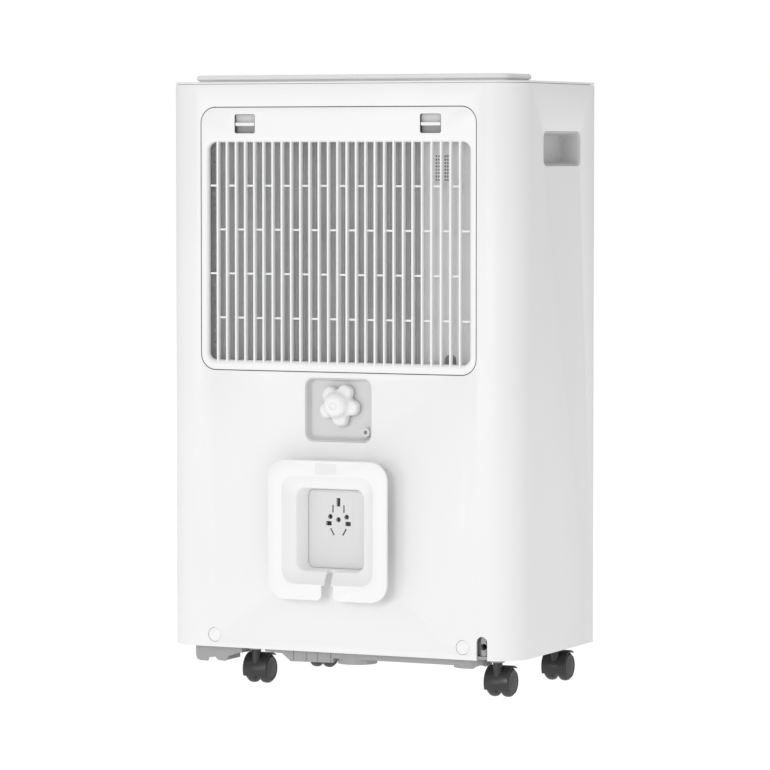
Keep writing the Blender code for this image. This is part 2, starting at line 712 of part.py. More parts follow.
def make_sensor_panel(materials):
    """Cover beside the evaporator, over the pipes, with breathing holes for the humidity sensor."""
    notch = [(-130.0, 330.0), (-116.5, 330.0), *arc((-123.25, 348.6), 6.75, 0.0, 180.0, 6)]
    cuts = [
        box((-152.0, SENSOR_EDGE - 2.4), (60.0, 90.2), (340.0, 588.0)),
        extrude(notch, 80.0, 95.0, "Y"),
    ]
    for group in (-118.5, -108.6):
        for column in (-1.4, 1.4):
            x = group + column
            for row in range(8):
                z = 535.4 + 3.5 * row
                cuts.append(box((x - 0.6, x + 0.6), (85.0, 95.0), (z, z + 1.3)))
    panel = box((-154.5, SENSOR_EDGE), (86.6, 92.0), (338.0, 590.0))
    piece("sensor_panel", materials["light_grey"], panel, cut=cuts)


def make_drip_tray(materials):
    """Tray under both coils, with a trough that carries the water forward to the tank."""
    piece(
        "drip_tray",
        materials["grey"],
        box((-112.0, 165.0), (24.0, 91.0), (316.0, 335.0)),
        joined=[
            box((-14.0, 14.0), (-40.0, 30.0), (306.0, 322.0)),
            cylinder(9.0, (0.0, -28.0), 268.0, 308.0, "Z", 14),
        ],
        cut=[
            box((-110.0, 163.0), (26.0, 89.0), (318.0, 340.0)),
            box((-12.0, 12.0), (-38.0, 40.0), (308.0, 340.0)),
            cylinder(7.0, (0.0, -28.0), 260.0, 312.0, "Z", 12),
            cylinder(4.6, (DRAIN_X, 84.0), 310.0, 325.0, "Z", 12),
        ],
    )


def scroll_outline(offset):
    """Spiral of the fan housing: it opens from its tongue round to a straight throat that rises."""
    points = []
    for i in range(21):
        angle = 75.0 + 285.0 * i / 20
        radius = 99.0 + 34.0 * i / 20 + offset
        turn = math.radians(angle)
        points.append((FAN_X + radius * math.cos(turn), FAN_Z + radius * math.sin(turn)))
    right = points[-1][0]
    return [*points, (right, 597.0 + offset), (points[0][0], 597.0 + offset)]


def make_fan(materials):
    """Scroll housing with the duct up to the outlet, centrifugal wheel and motor."""
    inlet = cylinder(82.0, (FAN_X, FAN_Z), 10.0, 30.0, "Y", 24)
    throat = (scroll_outline(0.0)[-1][0], scroll_outline(0.0)[-3][0])
    piece(
        "fan_scroll",
        materials["grey"],
        extrude(scroll_outline(2.0), -42.0, 24.0, "Y"),
        joined=[box((-168.0, 178.0), (-42.0, 80.0), (596.0, 628.0))],
        cut=[
            extrude(scroll_outline(0.0), -40.0, 22.0, "Y"),
            box((throat[0], throat[1]), (-40.0, 22.0), (560.0, 606.0)),
            box((-166.0, 176.0), (-40.0, 78.0), (598.0, 640.0)),
            inlet,
            cylinder(7.0, (FAN_X, FAN_Z), -50.0, -30.0, "Y", 12),
        ],
    )
    blades = []
    for i in range(FAN_BLADES):
        turn = math.tau * i / FAN_BLADES
        radial = Vector((math.cos(turn), math.sin(turn)))
        swept = Vector((math.cos(turn + 0.17), math.sin(turn + 0.17)))
        side = Vector((-radial.y, radial.x)) * 0.9
        inner, outer = radial * 72.0, swept * 88.0
        corners = [inner - side, outer - side, outer + side, inner + side]
        blades.append(extrude([(FAN_X + c.x, FAN_Z + c.y) for c in corners], -33.0, 15.0, "Y"))
    rim = [(FAN_RADIUS, 13.0), (FAN_RADIUS, 16.0), (74.0, 16.0), (74.0, 13.0)]
    piece(
        "fan_wheel",
        materials["black"],
        cylinder(FAN_RADIUS, (FAN_X, FAN_Z), -35.0, -32.0, "Y", 24),
        joined=[
            cylinder(13.0, (FAN_X, FAN_Z), -34.0, -12.0, "Y", 12),
            turned(rim, (FAN_X, FAN_Z), "Y", 24, round_again=True),
            *blades,
        ],
        cut=[cylinder(4.4, (FAN_X, FAN_Z), -40.0, -5.0, "Y", 12)],
        origin=(FAN_X, -20.0, FAN_Z),
    )
    motor = [(4.0, -9.0), (4.0, -43.0), (14.0, -46.0), (44.0, -48.0), (46.0, -54.0), (46.0, -80.0)]
    motor.append((38.0, -88.0))
    lugs = []
    for side in (-1, 1):
        x = FAN_X + side * 48.0
        lugs.append(box((x - 7.0, x + 7.0), (-56.0, -42.4), (FAN_Z - 6.0, FAN_Z + 6.0)))
    piece("fan_motor", materials["galvanised"], turned(motor, (FAN_X, FAN_Z), "Y", 16), joined=lugs)


def make_compressor(materials):
    """Welded shell on a foot plate, with the suction accumulator strapped beside it."""
    x, y = COMPRESSOR_X, COMPRESSOR_Y
    shell = [(30.0, 57.0), (47.0, 61.0), (52.0, 70.0), (52.0, 208.0), (46.0, 222.0), (28.0, 231.0)]
    shell.append((8.0, 233.0))
    accumulator = [(8.0, 108.0), (17.0, 114.0), (17.0, 196.0), (10.0, 206.0), (4.5, 208.0)]
    accumulator.append((4.5, 216.0))
    piece(
        "compressor",
        materials["steel"],
        turned(shell, (x, y), "Z", 16),
        joined=[
            turned(accumulator, (22.0, 68.0), "Z", 12),
            box((22.0, 60.0), (62.0, 66.0), (130.0, 142.0)),
            box((22.0, 60.0), (62.0, 66.0), (170.0, 182.0)),
            box((x - 46.0, x + 46.0), (y - 20.0, y + 20.0), (54.0, 59.0)),
            *[cylinder(7.0, (x + side * 37.0, y), 44.3, 56.0, "Z", 12) for side in (-1, 1)],
        ],
    )


def make_pipes(materials):
    end = COIL_LEFT - 1.3
    suction = [(22.0, 68.0, 216.4), (22.0, 68.0, 262.0), (-118.5, 62.0, 262.0), (-118.5, 80.0, 290.0)]
    suction += [(-118.5, 80.0, 378.0), (-110.0, 74.0, 391.0), (end, 74.0, 391.0)]
    pipe("suction_pipe", materials["foam"], rounded_route(suction, 5.0, 2), 5.5, 1)
    x, y = COMPRESSOR_X, COMPRESSOR_Y
    discharge = [(x, y, 233.4), (x, y, 262.0), (176.0, 43.0, 270.0)]
    discharge += [(176.0, 43.0, 430.0), (COIL_RIGHT + 1.3, 43.0, 430.0)]
    pipe("discharge_pipe", materials["copper"], rounded_route(discharge, 9.0), 3.5, 1)
    coil = []
    for i in range(25):
        turn = math.tau * i / 8
        x, y = -124.0 + 11.0 * math.cos(turn), 46.0 + 11.0 * math.sin(turn)
        coil.append((x, y, 400.0 + 6.8 * i / 8))
    ends = [(end, 43.0, 391.0), (-108.0, 43.0, 391.0)]
    tail = [(-113.0, 50.0, 432.0), (-108.0, 74.0, 440.0), (end, 74.0, 440.0)]
    pipe("capillary_tube", materials["copper"], [*ends, *coil, *tail], 1.4, 0)


def make_electronics(materials):
    piece(
        "control_box",
        materials["light_grey"],
        box((-150.0, -62.0), (22.0, 88.0), (44.3, 200.0)),
        cut=[
            box((-147.5, -64.5), (24.5, 85.5), (60.0, 205.0)),
            cylinder(5.0, (-135.0, 54.0), 80.0, 95.0, "Y", 10),
        ],
        rejoined=[box((-148.0, -64.0), (50.0, 52.0), (60.5, 190.0))],
    )
    piece(
        "tank_switch",
        materials["black"],
        box((104.0, 124.0), (-7.6, 0.0), (222.0, 244.0)),
        joined=[box((108.0, 120.0), (-12.2, -7.0), (230.0, 236.0))],
    )


def make_bulkhead(materials):
    """Upright wall and shelf that part the tank's bay from the refrigeration unit."""
    shelf = [(-12.6, 44.3), (-10.4, 44.3), (-10.4, 302.0), (-12.6, 302.0)]
    piece(
        "bulkhead",
        materials["galvanised"],
        extrude(shelf, -194.0, 194.0, "X"),
        joined=[box((-194.0, 194.0), (-98.0, 20.0), (300.0, 302.0))],
        cut=[
            cylinder(11.0, (0.0, -28.0), 290.0, 310.0, "Z", 16),
            box((106.0, 122.0), (-16.0, -9.0), (228.0, 238.0)),
        ],
    )


# ---------------------------------------------------------------- air outlet and controls on top


def make_outlet(materials):
    """Raised frame over the air outlet, its flap on two end pins, and the fixed guard under it."""
    half, front, back = OUTLET
    hole_half, hole_front, hole_back = OUTLET_HOLE
    middle = (0.0, (front + back) / 2)
    flange, foot, lip = -4.0, 2.6, 0.3
    levels = [(633.4, flange), (SEAM_Z + 0.1, flange), (SEAM_Z + 0.1, foot), (640.5, foot), (640.9, lip)]
    levels += [(643.4, 0.0), (645.3, 0.8), (TOP_Z, 2.2)]
    rings = []
    for level, inset in levels:
        outline = rounded(middle, (half - inset) * 2, back - front - inset * 2, 11.0 - inset)
        rings.append([placed(p, level, "Z") for p in outline])
    hole_middle = (0.0, (hole_front + hole_back) / 2)
    hole_depth = hole_back - hole_front
    hole = rounded(hole_middle, hole_half * 2, hole_depth, 1.0, 2)
    ledge = rounded(hole_middle, hole_half * 2 - 6.0, hole_depth - 5.0, 2.0, 2)
    collar = rounded((0.0, 45.5), 346.0, 58.0, 4.5, 3)
    piece(
        "outlet_frame",
        materials["white"],
        loft(rings),
        joined=[extrude(collar, 629.0, 634.0, "Z")],
        cut=[
            extrude(hole, 642.0, 650.0, "Z"),
            extrude(ledge, 620.0, 650.0, "Z"),
            cylinder(1.5, FLAP_PIVOT[1:], -hole_half - 3.5, hole_half + 3.5, "X", 10),
        ],
    )
    flap = [(18.6, 642.6), (71.4, 642.3), *arc(FLAP_PIVOT[1:], 1.3, -60.0, 90.0, 4)]
    flap += [(60.0, 645.2), (18.6, 645.2)]
    flap_half = hole_half - 1.0
    piece(
        "louver",
        materials["white"],
        extrude(flap, -flap_half, flap_half, "X"),
        joined=[cylinder(1.1, FLAP_PIVOT[1:], -hole_half - 2.6, hole_half + 2.6, "X", 8)],
        origin=FLAP_PIVOT,
    )
    bars = [box((-165.0, 165.0), (y - 0.8, y + 0.8), (631.0, 635.0)) for y in range(26, 67, 8)]
    ribs = [box((x - 1.0, x + 1.0), (21.5, 69.5), (631.0, 634.6)) for x in (-84.0, 0.0, 84.0)]
    grille = rounded((0.0, 45.5), 336.0, 50.0, 2.5, 2)
    opening = rounded((0.0, 45.5), 330.0, 45.0, 1.5, 2)
    piece(
        "outlet_grille",
        materials["grey"],
        extrude(grille, 630.6, 635.6, "Z"),
        cut=[extrude(opening, 620.0, 640.0, "Z")],
        rejoined=bars + ribs,
    )


def make_controls(materials):
    """Control panel in the top cover, its display window and the sprung buttons."""
    plate = rounded((0.0, -62.0), 207.4, 61.4, 7.7, 3)
    lip = rounded((0.0, -62.0), 211.0, 65.0, 9.0, 3)
    window = rounded((0.0, -52.0), 60.0, 24.0, 3.0, 2)
    cuts = [extrude(window, 630.0, 645.0, "Z")]
    for x, y in zip(BUTTON_X, BUTTON_Y):
        cuts.append(cylinder(6.4, (x, y), 630.0, 645.0, "Z", 14))
    piece(
        "control_panel",
        materials["white"],
        extrude(plate, 634.6, 639.2, "Z"),
        joined=[extrude(lip, 633.6, 636.0, "Z")],
        cut=cuts,
    )
    glass = rounded((0.0, -52.0), 59.4, 23.4, 2.7, 2)
    piece("display_window", materials["screen"], extrude(glass, 634.0, 639.1, "Z"))
    for i, (x, y) in enumerate(zip(BUTTON_X, BUTTON_Y)):
        profile = [(7.6, 631.6), (7.6, 633.2), (6.0, 633.2), (6.0, 639.9), (5.2, 640.5)]
        shape = turned(profile, (x, y), "Z", 12)
        piece(f"button_{i + 1}", materials["white"], shape, origin=(x, y, 633.0))


# ---------------------------------------------------------------- water tank


def make_tank(materials):
    half, back, front = TANK_HALF, TANK_BACK, TANK_FRONT
    low, high = TANK_LOW, TANK_HIGH
    pivot = (-70.0, 238.0)
    piece(
        "water_tank",
        materials["clear"],
        box((-half, half), (front, back), (low, high)),
        joined=[cylinder(3.0, pivot, -half - 4.6, half + 4.6, "X", 10)],
        cut=[box((-half + 2.5, half - 2.5), (front + 2.5, back - 2.5), (low + 2.5, high + 5.0))],
    )
    middle, height = (FASCIA_LOW + FASCIA_HIGH) / 2, FASCIA_HIGH - FASCIA_LOW
    slot = rounded((0.0, 236.0), 112.0, 22.0, 8.0, 3)
    gauge = rounded((-128.0, 142.0), 12.0, 130.0, 5.9, 3)
    face = rounded((0.0, middle), FASCIA_HALF * 2, height, 5.5, 3)
    hollow = box(
        (-FASCIA_HALF + 2.5, FASCIA_HALF - 2.5),
        (FRONT_Y + 3.2, front + 5.0),
        (FASCIA_LOW + 2.5, FASCIA_HIGH - 2.5),
    )
    piece(
        "tank_front",
        materials["white"],
        extrude(face, FRONT_Y + 0.2, front - GAP, "Y"),
        cut=[
            hollow,
            extrude(slot, FRONT_Y - 2.0, front, "Y"),
            extrude(gauge, FRONT_Y - 2.0, front, "Y"),
        ],
    )
    centre = (0.0, (back + front) / 2)
    lid, plug, well = [
        rounded(centre, half * 2 - less, back - front - less, 3.0, 2) for less in (1.0, 5.8, 9.0)
    ]
    bracket = box((89.0, 91.5), (-112.0, -104.0), (236.0, high + 1.5))
    piece(
        "tank_lid",
        materials["light_grey"],
        extrude(lid, high + GAP, high + 2.3, "Z"),
        joined=[extrude(plug, high - 4.0, high + 1.0, "Z")],
        cut=[
            extrude(well, high - 6.0, high + 0.3, "Z"),
            cylinder(14.0, (0.0, -28.0), high - 10.0, high + 5.0, "Z", 16),
        ],
        rejoined=[bracket],
    )
    pin = (-108.0, 240.0)
    arm = [(-111.0, 237.0), (-105.0, 237.0), (-52.0, 222.0), (-44.0, 222.0), (-44.0, 228.0)]
    arm += [(-105.0, 243.0), (-111.0, 243.0)]
    piece(
        "tank_float",
        materials["foam_white"],
        box((95.0, 133.0), (-58.0, -30.0), (206.0, 224.0)),
        joined=[extrude(arm, 95.0, 98.0, "X"), cylinder(2.0, pin, 91.9, 96.0, "X", 10)],
        origin=(95.0, *pin),
    )
    arm = [(-74.0, 233.5), (-66.0, 233.5), (-66.0, 242.0), (-103.0, 260.6), (-111.0, 260.6)]
    arm.append((-111.0, 252.6))
    arms = [extrude(arm, side * (half + 0.6), side * (half + 4.0), "X") for side in (-1, 1)]
    piece(
        "tank_handle",
        materials["light_grey"],
        box((-half - 4.0, half + 4.0), (-111.0, -103.0), (252.6, 260.6)),
        joined=arms,
        cut=[cylinder(3.3, pivot, -half - 6.0, half + 6.0, "X", 12)],
        origin=(0.0, *pivot),
    )


# ---------------------------------------------------------------- castors


def make_castor(materials, word, x, stem_y):
    """Twin-wheel castor: hooded yoke on a stem, and two wheels on its fixed axle."""
    y = stem_y - CASTOR_TRAIL
    axle = (y, WHEEL_RADIUS)
    inner = HOOD_RADIUS - 1.2
    hood = arc(axle, HOOD_RADIUS, -25.0, 122.0, 9) + arc(axle, inner, 122.0, -25.0, 9)
    web = arc(axle, inner + 0.6, -22.0, 118.0, 7) + arc(axle, 5.0, 150.0, 310.0, 5)
    piece(
        f"castor_yoke_{word}",
        materials["black"],
        cylinder(5.0, (x, stem_y), 15.0, 36.6, "Z", 12),
        cut=[cylinder(inner, axle, x - 20.0, x + 20.0, "X", 24)],
        rejoined=[
            extrude(hood, x - HOOD_HALF, x + HOOD_HALF, "X"),
            extrude(web, x - 2.6, x + 2.6, "X"),
            cylinder(4.0, (x, stem_y), 29.0, 50.0, "Z", 12),
            cylinder(2.0, axle, x - 11.0, x + 11.0, "X", 10),
        ],
        origin=(x, stem_y, WHEEL_RADIUS),
    )
    profile = [(2.3, 11.5), (2.3, 3.1), (13.2, 3.1), (15.0, 4.4), (15.5, 7.4), (15.0, 10.4), (13.2, 12.4)]
    profile.append((8.0, 13.8))
    for side, hand in ((1, "left"), (-1, "right")):
        shape = turned([(r, x + side * level) for r, level in profile], axle, "X", 16)
        piece(f"castor_wheel_{word}_{hand}", materials["tyre"], shape, origin=(x, *axle))


def make_castors(materials):
    for x, across in zip(CASTOR_X, ("left", "right")):
        for stem_y, along in zip(CASTOR_Y, ("rear", "front")):
            make_castor(materials, f"{along}_{across}", x, stem_y)


def clear_scene():
    for obj in list(bpy.data.objects):
        bpy.data.objects.remove(obj, do_unlink=True)


def main():
    clear_scene()
    materials = make_materials()
    make_rear_shell(materials)
    make_front_cover(materials)
    make_top_cover(materials)
    make_base_pan(materials)
    make_side_fittings(materials)
    make_intake_grille(materials)
    make_air_filter(materials)
    make_latches(materials)
    make_drain(materials)
    make_cord_reel(materials)
    make_plug_park(materials)
    make_cord_gland(materials)
    make_coil("evaporator_coil", materials["fins"], 62.0, 86.0)
    make_coil("condenser_coil", materials["fins"], 28.5, 57.5)
    make_sensor_panel(materials)
    make_drip_tray(materials)
    make_fan(materials)
    make_compressor(materials)
    make_pipes(materials)
    make_electronics(materials)
    make_bulkhead(materials)
    make_outlet(materials)
    make_controls(materials)
    make_tank(materials)
    make_castors(materials)


main()
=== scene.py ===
import math

import bmesh
import bpy
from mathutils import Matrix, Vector


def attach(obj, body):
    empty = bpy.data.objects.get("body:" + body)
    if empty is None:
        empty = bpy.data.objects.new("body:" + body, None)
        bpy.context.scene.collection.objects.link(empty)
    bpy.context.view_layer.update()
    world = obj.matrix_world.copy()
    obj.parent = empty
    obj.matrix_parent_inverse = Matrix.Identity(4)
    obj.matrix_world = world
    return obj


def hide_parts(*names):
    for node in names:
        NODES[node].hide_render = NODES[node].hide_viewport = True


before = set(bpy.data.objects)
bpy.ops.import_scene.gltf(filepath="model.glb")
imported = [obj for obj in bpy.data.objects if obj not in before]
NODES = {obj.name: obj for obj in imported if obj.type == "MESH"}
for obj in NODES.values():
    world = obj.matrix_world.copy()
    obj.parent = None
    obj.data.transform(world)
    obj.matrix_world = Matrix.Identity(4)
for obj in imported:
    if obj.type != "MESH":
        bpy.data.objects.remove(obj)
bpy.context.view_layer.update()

# Lengths are in millimetres, in the row frame; MM turns them into metres.
MM = 0.001

HALF_WIDTH, REAR_Y, FRONT_Y, SIDE_EDGE_Y = 204.0, 108.0, -132.0, -101.6
SHELL_BOTTOM, SEAM_Z, DECK_Z = 40.0, 636.0, 638.5
WALL, REAR_CORNER, FRONT_CORNER, FRONT_HALF = 2.5, 38.0, 32.0, 199.0
PANEL_HALF, PANEL_LOW, PANEL_HIGH, PANEL_CORNER = 159.0, 335.0, 611.8, 16.5
GRILLE_HALF, GRILLE_LOW, GRILLE_HIGH, GRILLE_LIP = 151.0, 345.5, 575.0, 4.6
SLAT_GAPS, SLAT_WIDTH = 28, 2.3
BRIDGE_ROWS = (528.4, 482.1, 435.6, 389.0)
LATCH_X, LATCH_Z = 107.4, 594.5
POCKET_WIDE, POCKET_TALL, POCKET_Z, DRAIN_X, DRAIN_Z = 76.9, 66.6, 295.25, -1.7, 300.9
REEL_Z, REEL_WIDE, REEL_TALL = 170.5, 138.0, 147.0
PARK_WIDE, PARK_TALL, SOCKET_X = 65.3, 82.3, -1.9
HANDLE_Y, HANDLE_Z, HANDLE_LONG, HANDLE_TALL = -13.35, 568.25, 100.0, 35.5
CASTOR_X, CASTOR_Y = (105.0, -175.0), (87.0, -66.0)
CASTOR_TRAIL, WHEEL_RADIUS, HOOD_RADIUS, HOOD_HALF = 11.0, 15.5, 17.3, 13.8
COIL_LEFT, COIL_RIGHT, COIL_LOW, COIL_HIGH = -92.4, 161.0, 338.0, 590.0
NET_PITCH, THREAD_HALF = 1.2, 0.06
VENT_COLUMNS, VENT_LOW, VENT_PITCH, VENT_ROWS = (-119.9, -117.1, -110.0, -107.2), 535.0, 3.5, 8


# ---------------------------------------------------------------- mesh tools


def arc(centre, radius, start, end, steps):
    angles = [math.radians(start + (end - start) * i / steps) for i in range(steps + 1)]
    return [(centre[0] + radius * math.cos(a), centre[1] + radius * math.sin(a)) for a in angles]


def circle(centre, radius, steps):
    return arc(centre, radius, 0.0, 360.0 - 360.0 / steps, steps - 1)


def rectangle(low, high):
    return [(low[0], low[1]), (high[0], low[1]), (high[0], high[1]), (low[0], high[1])]


def rounded(centre, width, height, radius, steps=10):
    right, top = centre[0] + width / 2 - radius, centre[1] + height / 2 - radius
    left, bottom = centre[0] - width / 2 + radius, centre[1] - height / 2 + radius
    corners = ((right, top), (left, top), (left, bottom), (right, bottom))
    return [p for i, c in enumerate(corners) for p in arc(c, radius, 90.0 * i, 90.0 * i + 90.0, steps)]


def placed(point, level, axis):
    a, b = point
    return {"X": (level, a, b), "Y": (a, level, b), "Z": (a, b, level)}[axis]


def loft(rings, round_again=False):
    count = len(rings[0])
    points = [p for ring in rings for p in ring]
    faces = []
    for i in range(len(rings) if round_again else len(rings) - 1):
        here, there = i * count, (i + 1) % len(rings) * count
        for j in range(count):
            k = (j + 1) % count
            faces.append((here + j, here + k, there + k, there + j))
    if not round_again:
        faces.append(tuple(range(count)))
        faces.append(tuple(range((len(rings) - 1) * count, len(rings) * count)))
    return points, faces


def extrude(outline, low, high, axis):
    return loft([[placed(p, level, axis) for p in outline] for level in (low, high)])


def box(x, y, z):
    return extrude(rectangle((x[0], y[0]), (x[1], y[1])), z[0], z[1], "Z")


def turned(profile, centre, axis, steps=48, round_again=False):
    rings = [[placed(p, level, axis) for p in circle(centre, radius, steps)] for radius, level in profile]
    return loft(rings, round_again)


def cylinder(radius, centre, low, high, axis, steps=32):
    return turned([(radius, low), (radius, high)], centre, axis, steps)


def section(level, width, height, radius, centre, axis="Y", steps=10):
    return [placed(p, level, axis) for p in rounded(centre, width, height, radius, steps)]


def mesh_of(name, shapes):
    """Mesh of several closed shapes, each with its faces pointing out."""
    bm = bmesh.new()
    for points, faces in shapes:
        vertices = [bm.verts.new(Vector(p) * MM) for p in points]
        for face in faces:
            bm.faces.new([vertices[i] for i in face])
    bmesh.ops.recalc_face_normals(bm, faces=bm.faces)
    mesh = bpy.data.meshes.new(name)
    bm.to_mesh(mesh)
    bm.free()
    return mesh


def evaluated_mesh(obj):
    graph = bpy.context.evaluated_depsgraph_get()
    return bpy.data.meshes.new_from_object(obj.evaluated_get(graph))


def combine(obj, operation, shapes):
    """Joins shapes to an object or cuts them from it, and keeps the result as its mesh."""
    for shape in shapes:
        other = bpy.data.objects.new("tool", mesh_of("tool", [shape]))
        bpy.context.scene.collection.objects.link(other)
        modifier = obj.modifiers.new("combine", "BOOLEAN")
        modifier.operation, modifier.object, modifier.solver = operation, other, "EXACT"
        bpy.context.view_layer.update()
        obj.data = evaluated_mesh(obj)
        obj.modifiers.clear()
        bpy.data.objects.remove(other)


def finish(obj, bevel, angle=32.0, segments=2):
    """Rounds the edges sharper than the angle and shades the rest smooth."""
    if bevel:
        modifier = obj.modifiers.new("round", "BEVEL")
        modifier.width, modifier.segments = bevel * MM, segments
        modifier.limit_method, modifier.angle_limit = "ANGLE", math.radians(angle)
        modifier.use_clamp_overlap = True
        bpy.context.view_layer.update()
        obj.data = evaluated_mesh(obj)
        obj.modifiers.clear()
    obj.data.shade_smooth()
    obj.data.set_sharp_from_angle(angle=math.radians(angle))


def piece(name, body, material, shapes, cut=(), joined=(), nodes=(), bevel=0.0, angle=32.0):
    """A fine piece that rides on a body and stands for some CAD nodes."""
    obj = bpy.data.objects.new(name, mesh_of(name, shapes))
    bpy.context.scene.collection.objects.link(obj)
    combine(obj, "UNION", joined)
    combine(obj, "DIFFERENCE", cut)
    finish(obj, bevel, angle)
    obj.data.materials.clear()
    obj.data.materials.append(material)
    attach(obj, body)
    if nodes:
        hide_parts(*nodes)
    return obj


# ---------------------------------------------------------------- materials


def link(tree, a, b):
    tree.links.new(a, b)


def new_material(name, roughness, metallic=0.0):
    material = bpy.data.materials.new(name)
    material.use_nodes = True
    tree = material.node_tree
    shader = tree.nodes["Principled BSDF"]
    shader.inputs["Roughness"].default_value = roughness
    shader.inputs["Metallic"].default_value = metallic
    where = tree.nodes.new("ShaderNodeTexCoord")
    return material, tree, shader, where.outputs["Object"]


def noise(tree, where, scale, detail=2.0, stretch=None):
    node = tree.nodes.new("ShaderNodeTexNoise")
    node.inputs["Scale"].default_value = scale
    node.inputs["Detail"].default_value = detail
    if stretch:
        mapping = tree.nodes.new("ShaderNodeMapping")
        mapping.inputs["Scale"].default_value = stretch
        link(tree, where, mapping.inputs["Vector"])
        where = mapping.outputs["Vector"]
    link(tree, where, node.inputs["Vector"])
    return node.outputs["Fac"]


def remap(tree, value, low, high):
    node = tree.nodes.new("ShaderNodeMapRange")
    node.inputs["From Min"].default_value, node.inputs["From Max"].default_value = 0.3, 0.7
    node.inputs["To Min"].default_value, node.inputs["To Max"].default_value = low, high
    link(tree, value, node.inputs["Value"])
    return node.outputs["Result"]


def blend_colour(tree, factor, first, second):
    node = tree.nodes.new("ShaderNodeMix")
    node.data_type = "RGBA"
    node.inputs[6].default_value = (*first, 1.0)
    node.inputs[7].default_value = (*second, 1.0)
    link(tree, factor, node.inputs[0])
    return node.outputs[2]


def bump(tree, shader, height, strength, distance):
    node = tree.nodes.new("ShaderNodeBump")
    node.inputs["Strength"].default_value = strength
    node.inputs["Distance"].default_value = distance
    link(tree, height, node.inputs["Height"])
    link(tree, node.outputs["Normal"], shader.inputs["Normal"])


def moulded(name, colour, roughness, vary=0.012, grain=1500.0, strength=0.12, specular=0.5):
    """Injection-moulded plastic: spark-eroded grain, slow drifts of colour and gloss, and faint rub marks."""
    material, tree, shader, where = new_material(name, roughness)
    shader.inputs["Specular IOR Level"].default_value = specular
    drift = noise(tree, where, 7.0, 3.0)
    darker = [c * (1.0 - vary) for c in colour]
    lighter = [min(1.0, c * (1.0 + vary)) for c in colour]
    colours = blend_colour(tree, remap(tree, drift, 0.0, 1.0), darker, lighter)
    link(tree, colours, shader.inputs["Base Color"])
    rubs = noise(tree, where, 38.0, 5.0, (1.0, 1.0, 0.35))
    gloss = remap(tree, rubs, roughness - 0.05, roughness + 0.06)
    link(tree, gloss, shader.inputs["Roughness"])
    bump(tree, shader, noise(tree, where, grain, 2.0), strength, 0.00012)
    return material


def metal(name, colour, roughness, stretch=(1.0, 1.0, 30.0), strength=0.15, metallic=1.0, scale=60.0):
    """Sheet or drawn metal: streaks along its rolling direction, with spots of duller oxide."""
    material, tree, shader, where = new_material(name, roughness, metallic)
    streaks = noise(tree, where, scale, 4.0, stretch)
    spots = noise(tree, where, 22.0, 4.0)
    dull = [c * 0.82 for c in colour]
    link(tree, blend_colour(tree, remap(tree, spots, 0.0, 1.0), dull, colour), shader.inputs["Base Color"])
    link(tree, remap(tree, streaks, roughness - 0.08, roughness + 0.1), shader.inputs["Roughness"])
    bump(tree, shader, streaks, strength, 0.0001)
    return material


def clear_plastic(name, colour, roughness):
    material, tree, shader, where = new_material(name, roughness)
    shader.inputs["Transmission Weight"].default_value = 0.85
    shader.inputs["IOR"].default_value = 1.45
    haze = noise(tree, where, 30.0, 4.0)
    link(tree, remap(tree, haze, roughness - 0.05, roughness + 0.08), shader.inputs["Roughness"])
    link(tree, blend_colour(tree, haze, [c * 0.96 for c in colour], colour), shader.inputs["Base Color"])
    bump(tree, shader, noise(tree, where, 300.0, 2.0), 0.08, 0.0001)
    return material


def foam(name, colour, roughness, scale=900.0):
    material, tree, shader, where = new_material(name, roughness)
    cells = tree.nodes.new("ShaderNodeTexVoronoi")
    cells.inputs["Scale"].default_value = scale
    link(tree, where, cells.inputs["Vector"])
    darker = [c * 0.8 for c in colour]
    link(tree, blend_colour(tree, noise(tree, where, 40.0, 4.0), darker, colour), shader.inputs["Base Color"])
    bump(tree, shader, cells.outputs["Distance"], 0.5, 0.0004)
    return material


WHITE = moulded("white_casing", (0.815, 0.815, 0.815), 0.42)
PANEL = moulded("white_panel", (0.83, 0.83, 0.83), 0.4)
REEL = moulded("white_reel", (0.84, 0.84, 0.84), 0.45)
POCKET = moulded("light_grey_recess", (0.66, 0.66, 0.665), 0.5)
SOCKET = moulded("light_grey_socket", (0.68, 0.68, 0.68), 0.5)
PLAQUE = moulded("white_plaque", (0.77, 0.77, 0.77), 0.5)
GREY_CUP_AND_SHADE = moulded("light_grey_cup_and_painted_shade", (0.58, 0.58, 0.585), 0.5)
SENSOR = moulded("white_sensor_panel", (0.74, 0.74, 0.74), 0.5)
SEAM = moulded("seam_shadow", (0.26, 0.26, 0.265), 0.7)
LIGHT_GREY = moulded("light_grey_plastic", (0.62, 0.62, 0.625), 0.5)
GREY = moulded("grey_base", (0.34, 0.34, 0.345), 0.5, vary=0.05)
DARK = moulded("dark_plastic_and_painted_shade", (0.12, 0.12, 0.125), 0.6, vary=0.05)
BLACK = moulded("castor_black", (0.022, 0.022, 0.023), 0.36, vary=0.15, grain=900.0)
TREAD = moulded("castor_tread", (0.03, 0.03, 0.031), 0.5, vary=0.2, grain=700.0, strength=0.25)
NET = moulded("filter_net", (0.78, 0.78, 0.785), 0.7, vary=0.06)
SMOKED = moulded("smoked_window", (0.012, 0.012, 0.014), 0.1, vary=0.1, strength=0.01)
CLEAR = clear_plastic("clear_tank", (0.8, 0.9, 0.95), 0.12)
FINS = metal("aluminium_fins", (0.88, 0.885, 0.89), 0.5, strength=0.1, metallic=0.1)
COPPER = metal("copper_tube", (0.75, 0.36, 0.22), 0.3, strength=0.1)
STEEL = metal("galvanised_sheet", (0.55, 0.56, 0.57), 0.4)
PAINT = metal("black_paint", (0.03, 0.03, 0.032), 0.38, (1.0, 1.0, 1.0), 0.12, 0.0, 400.0)
RUBBER_AND_PAINTED_SHADE = foam("seal_rubber", (0.03, 0.03, 0.03), 0.75)
LAGGING = foam("pipe_lagging", (0.028, 0.028, 0.03), 0.85, 500.0)
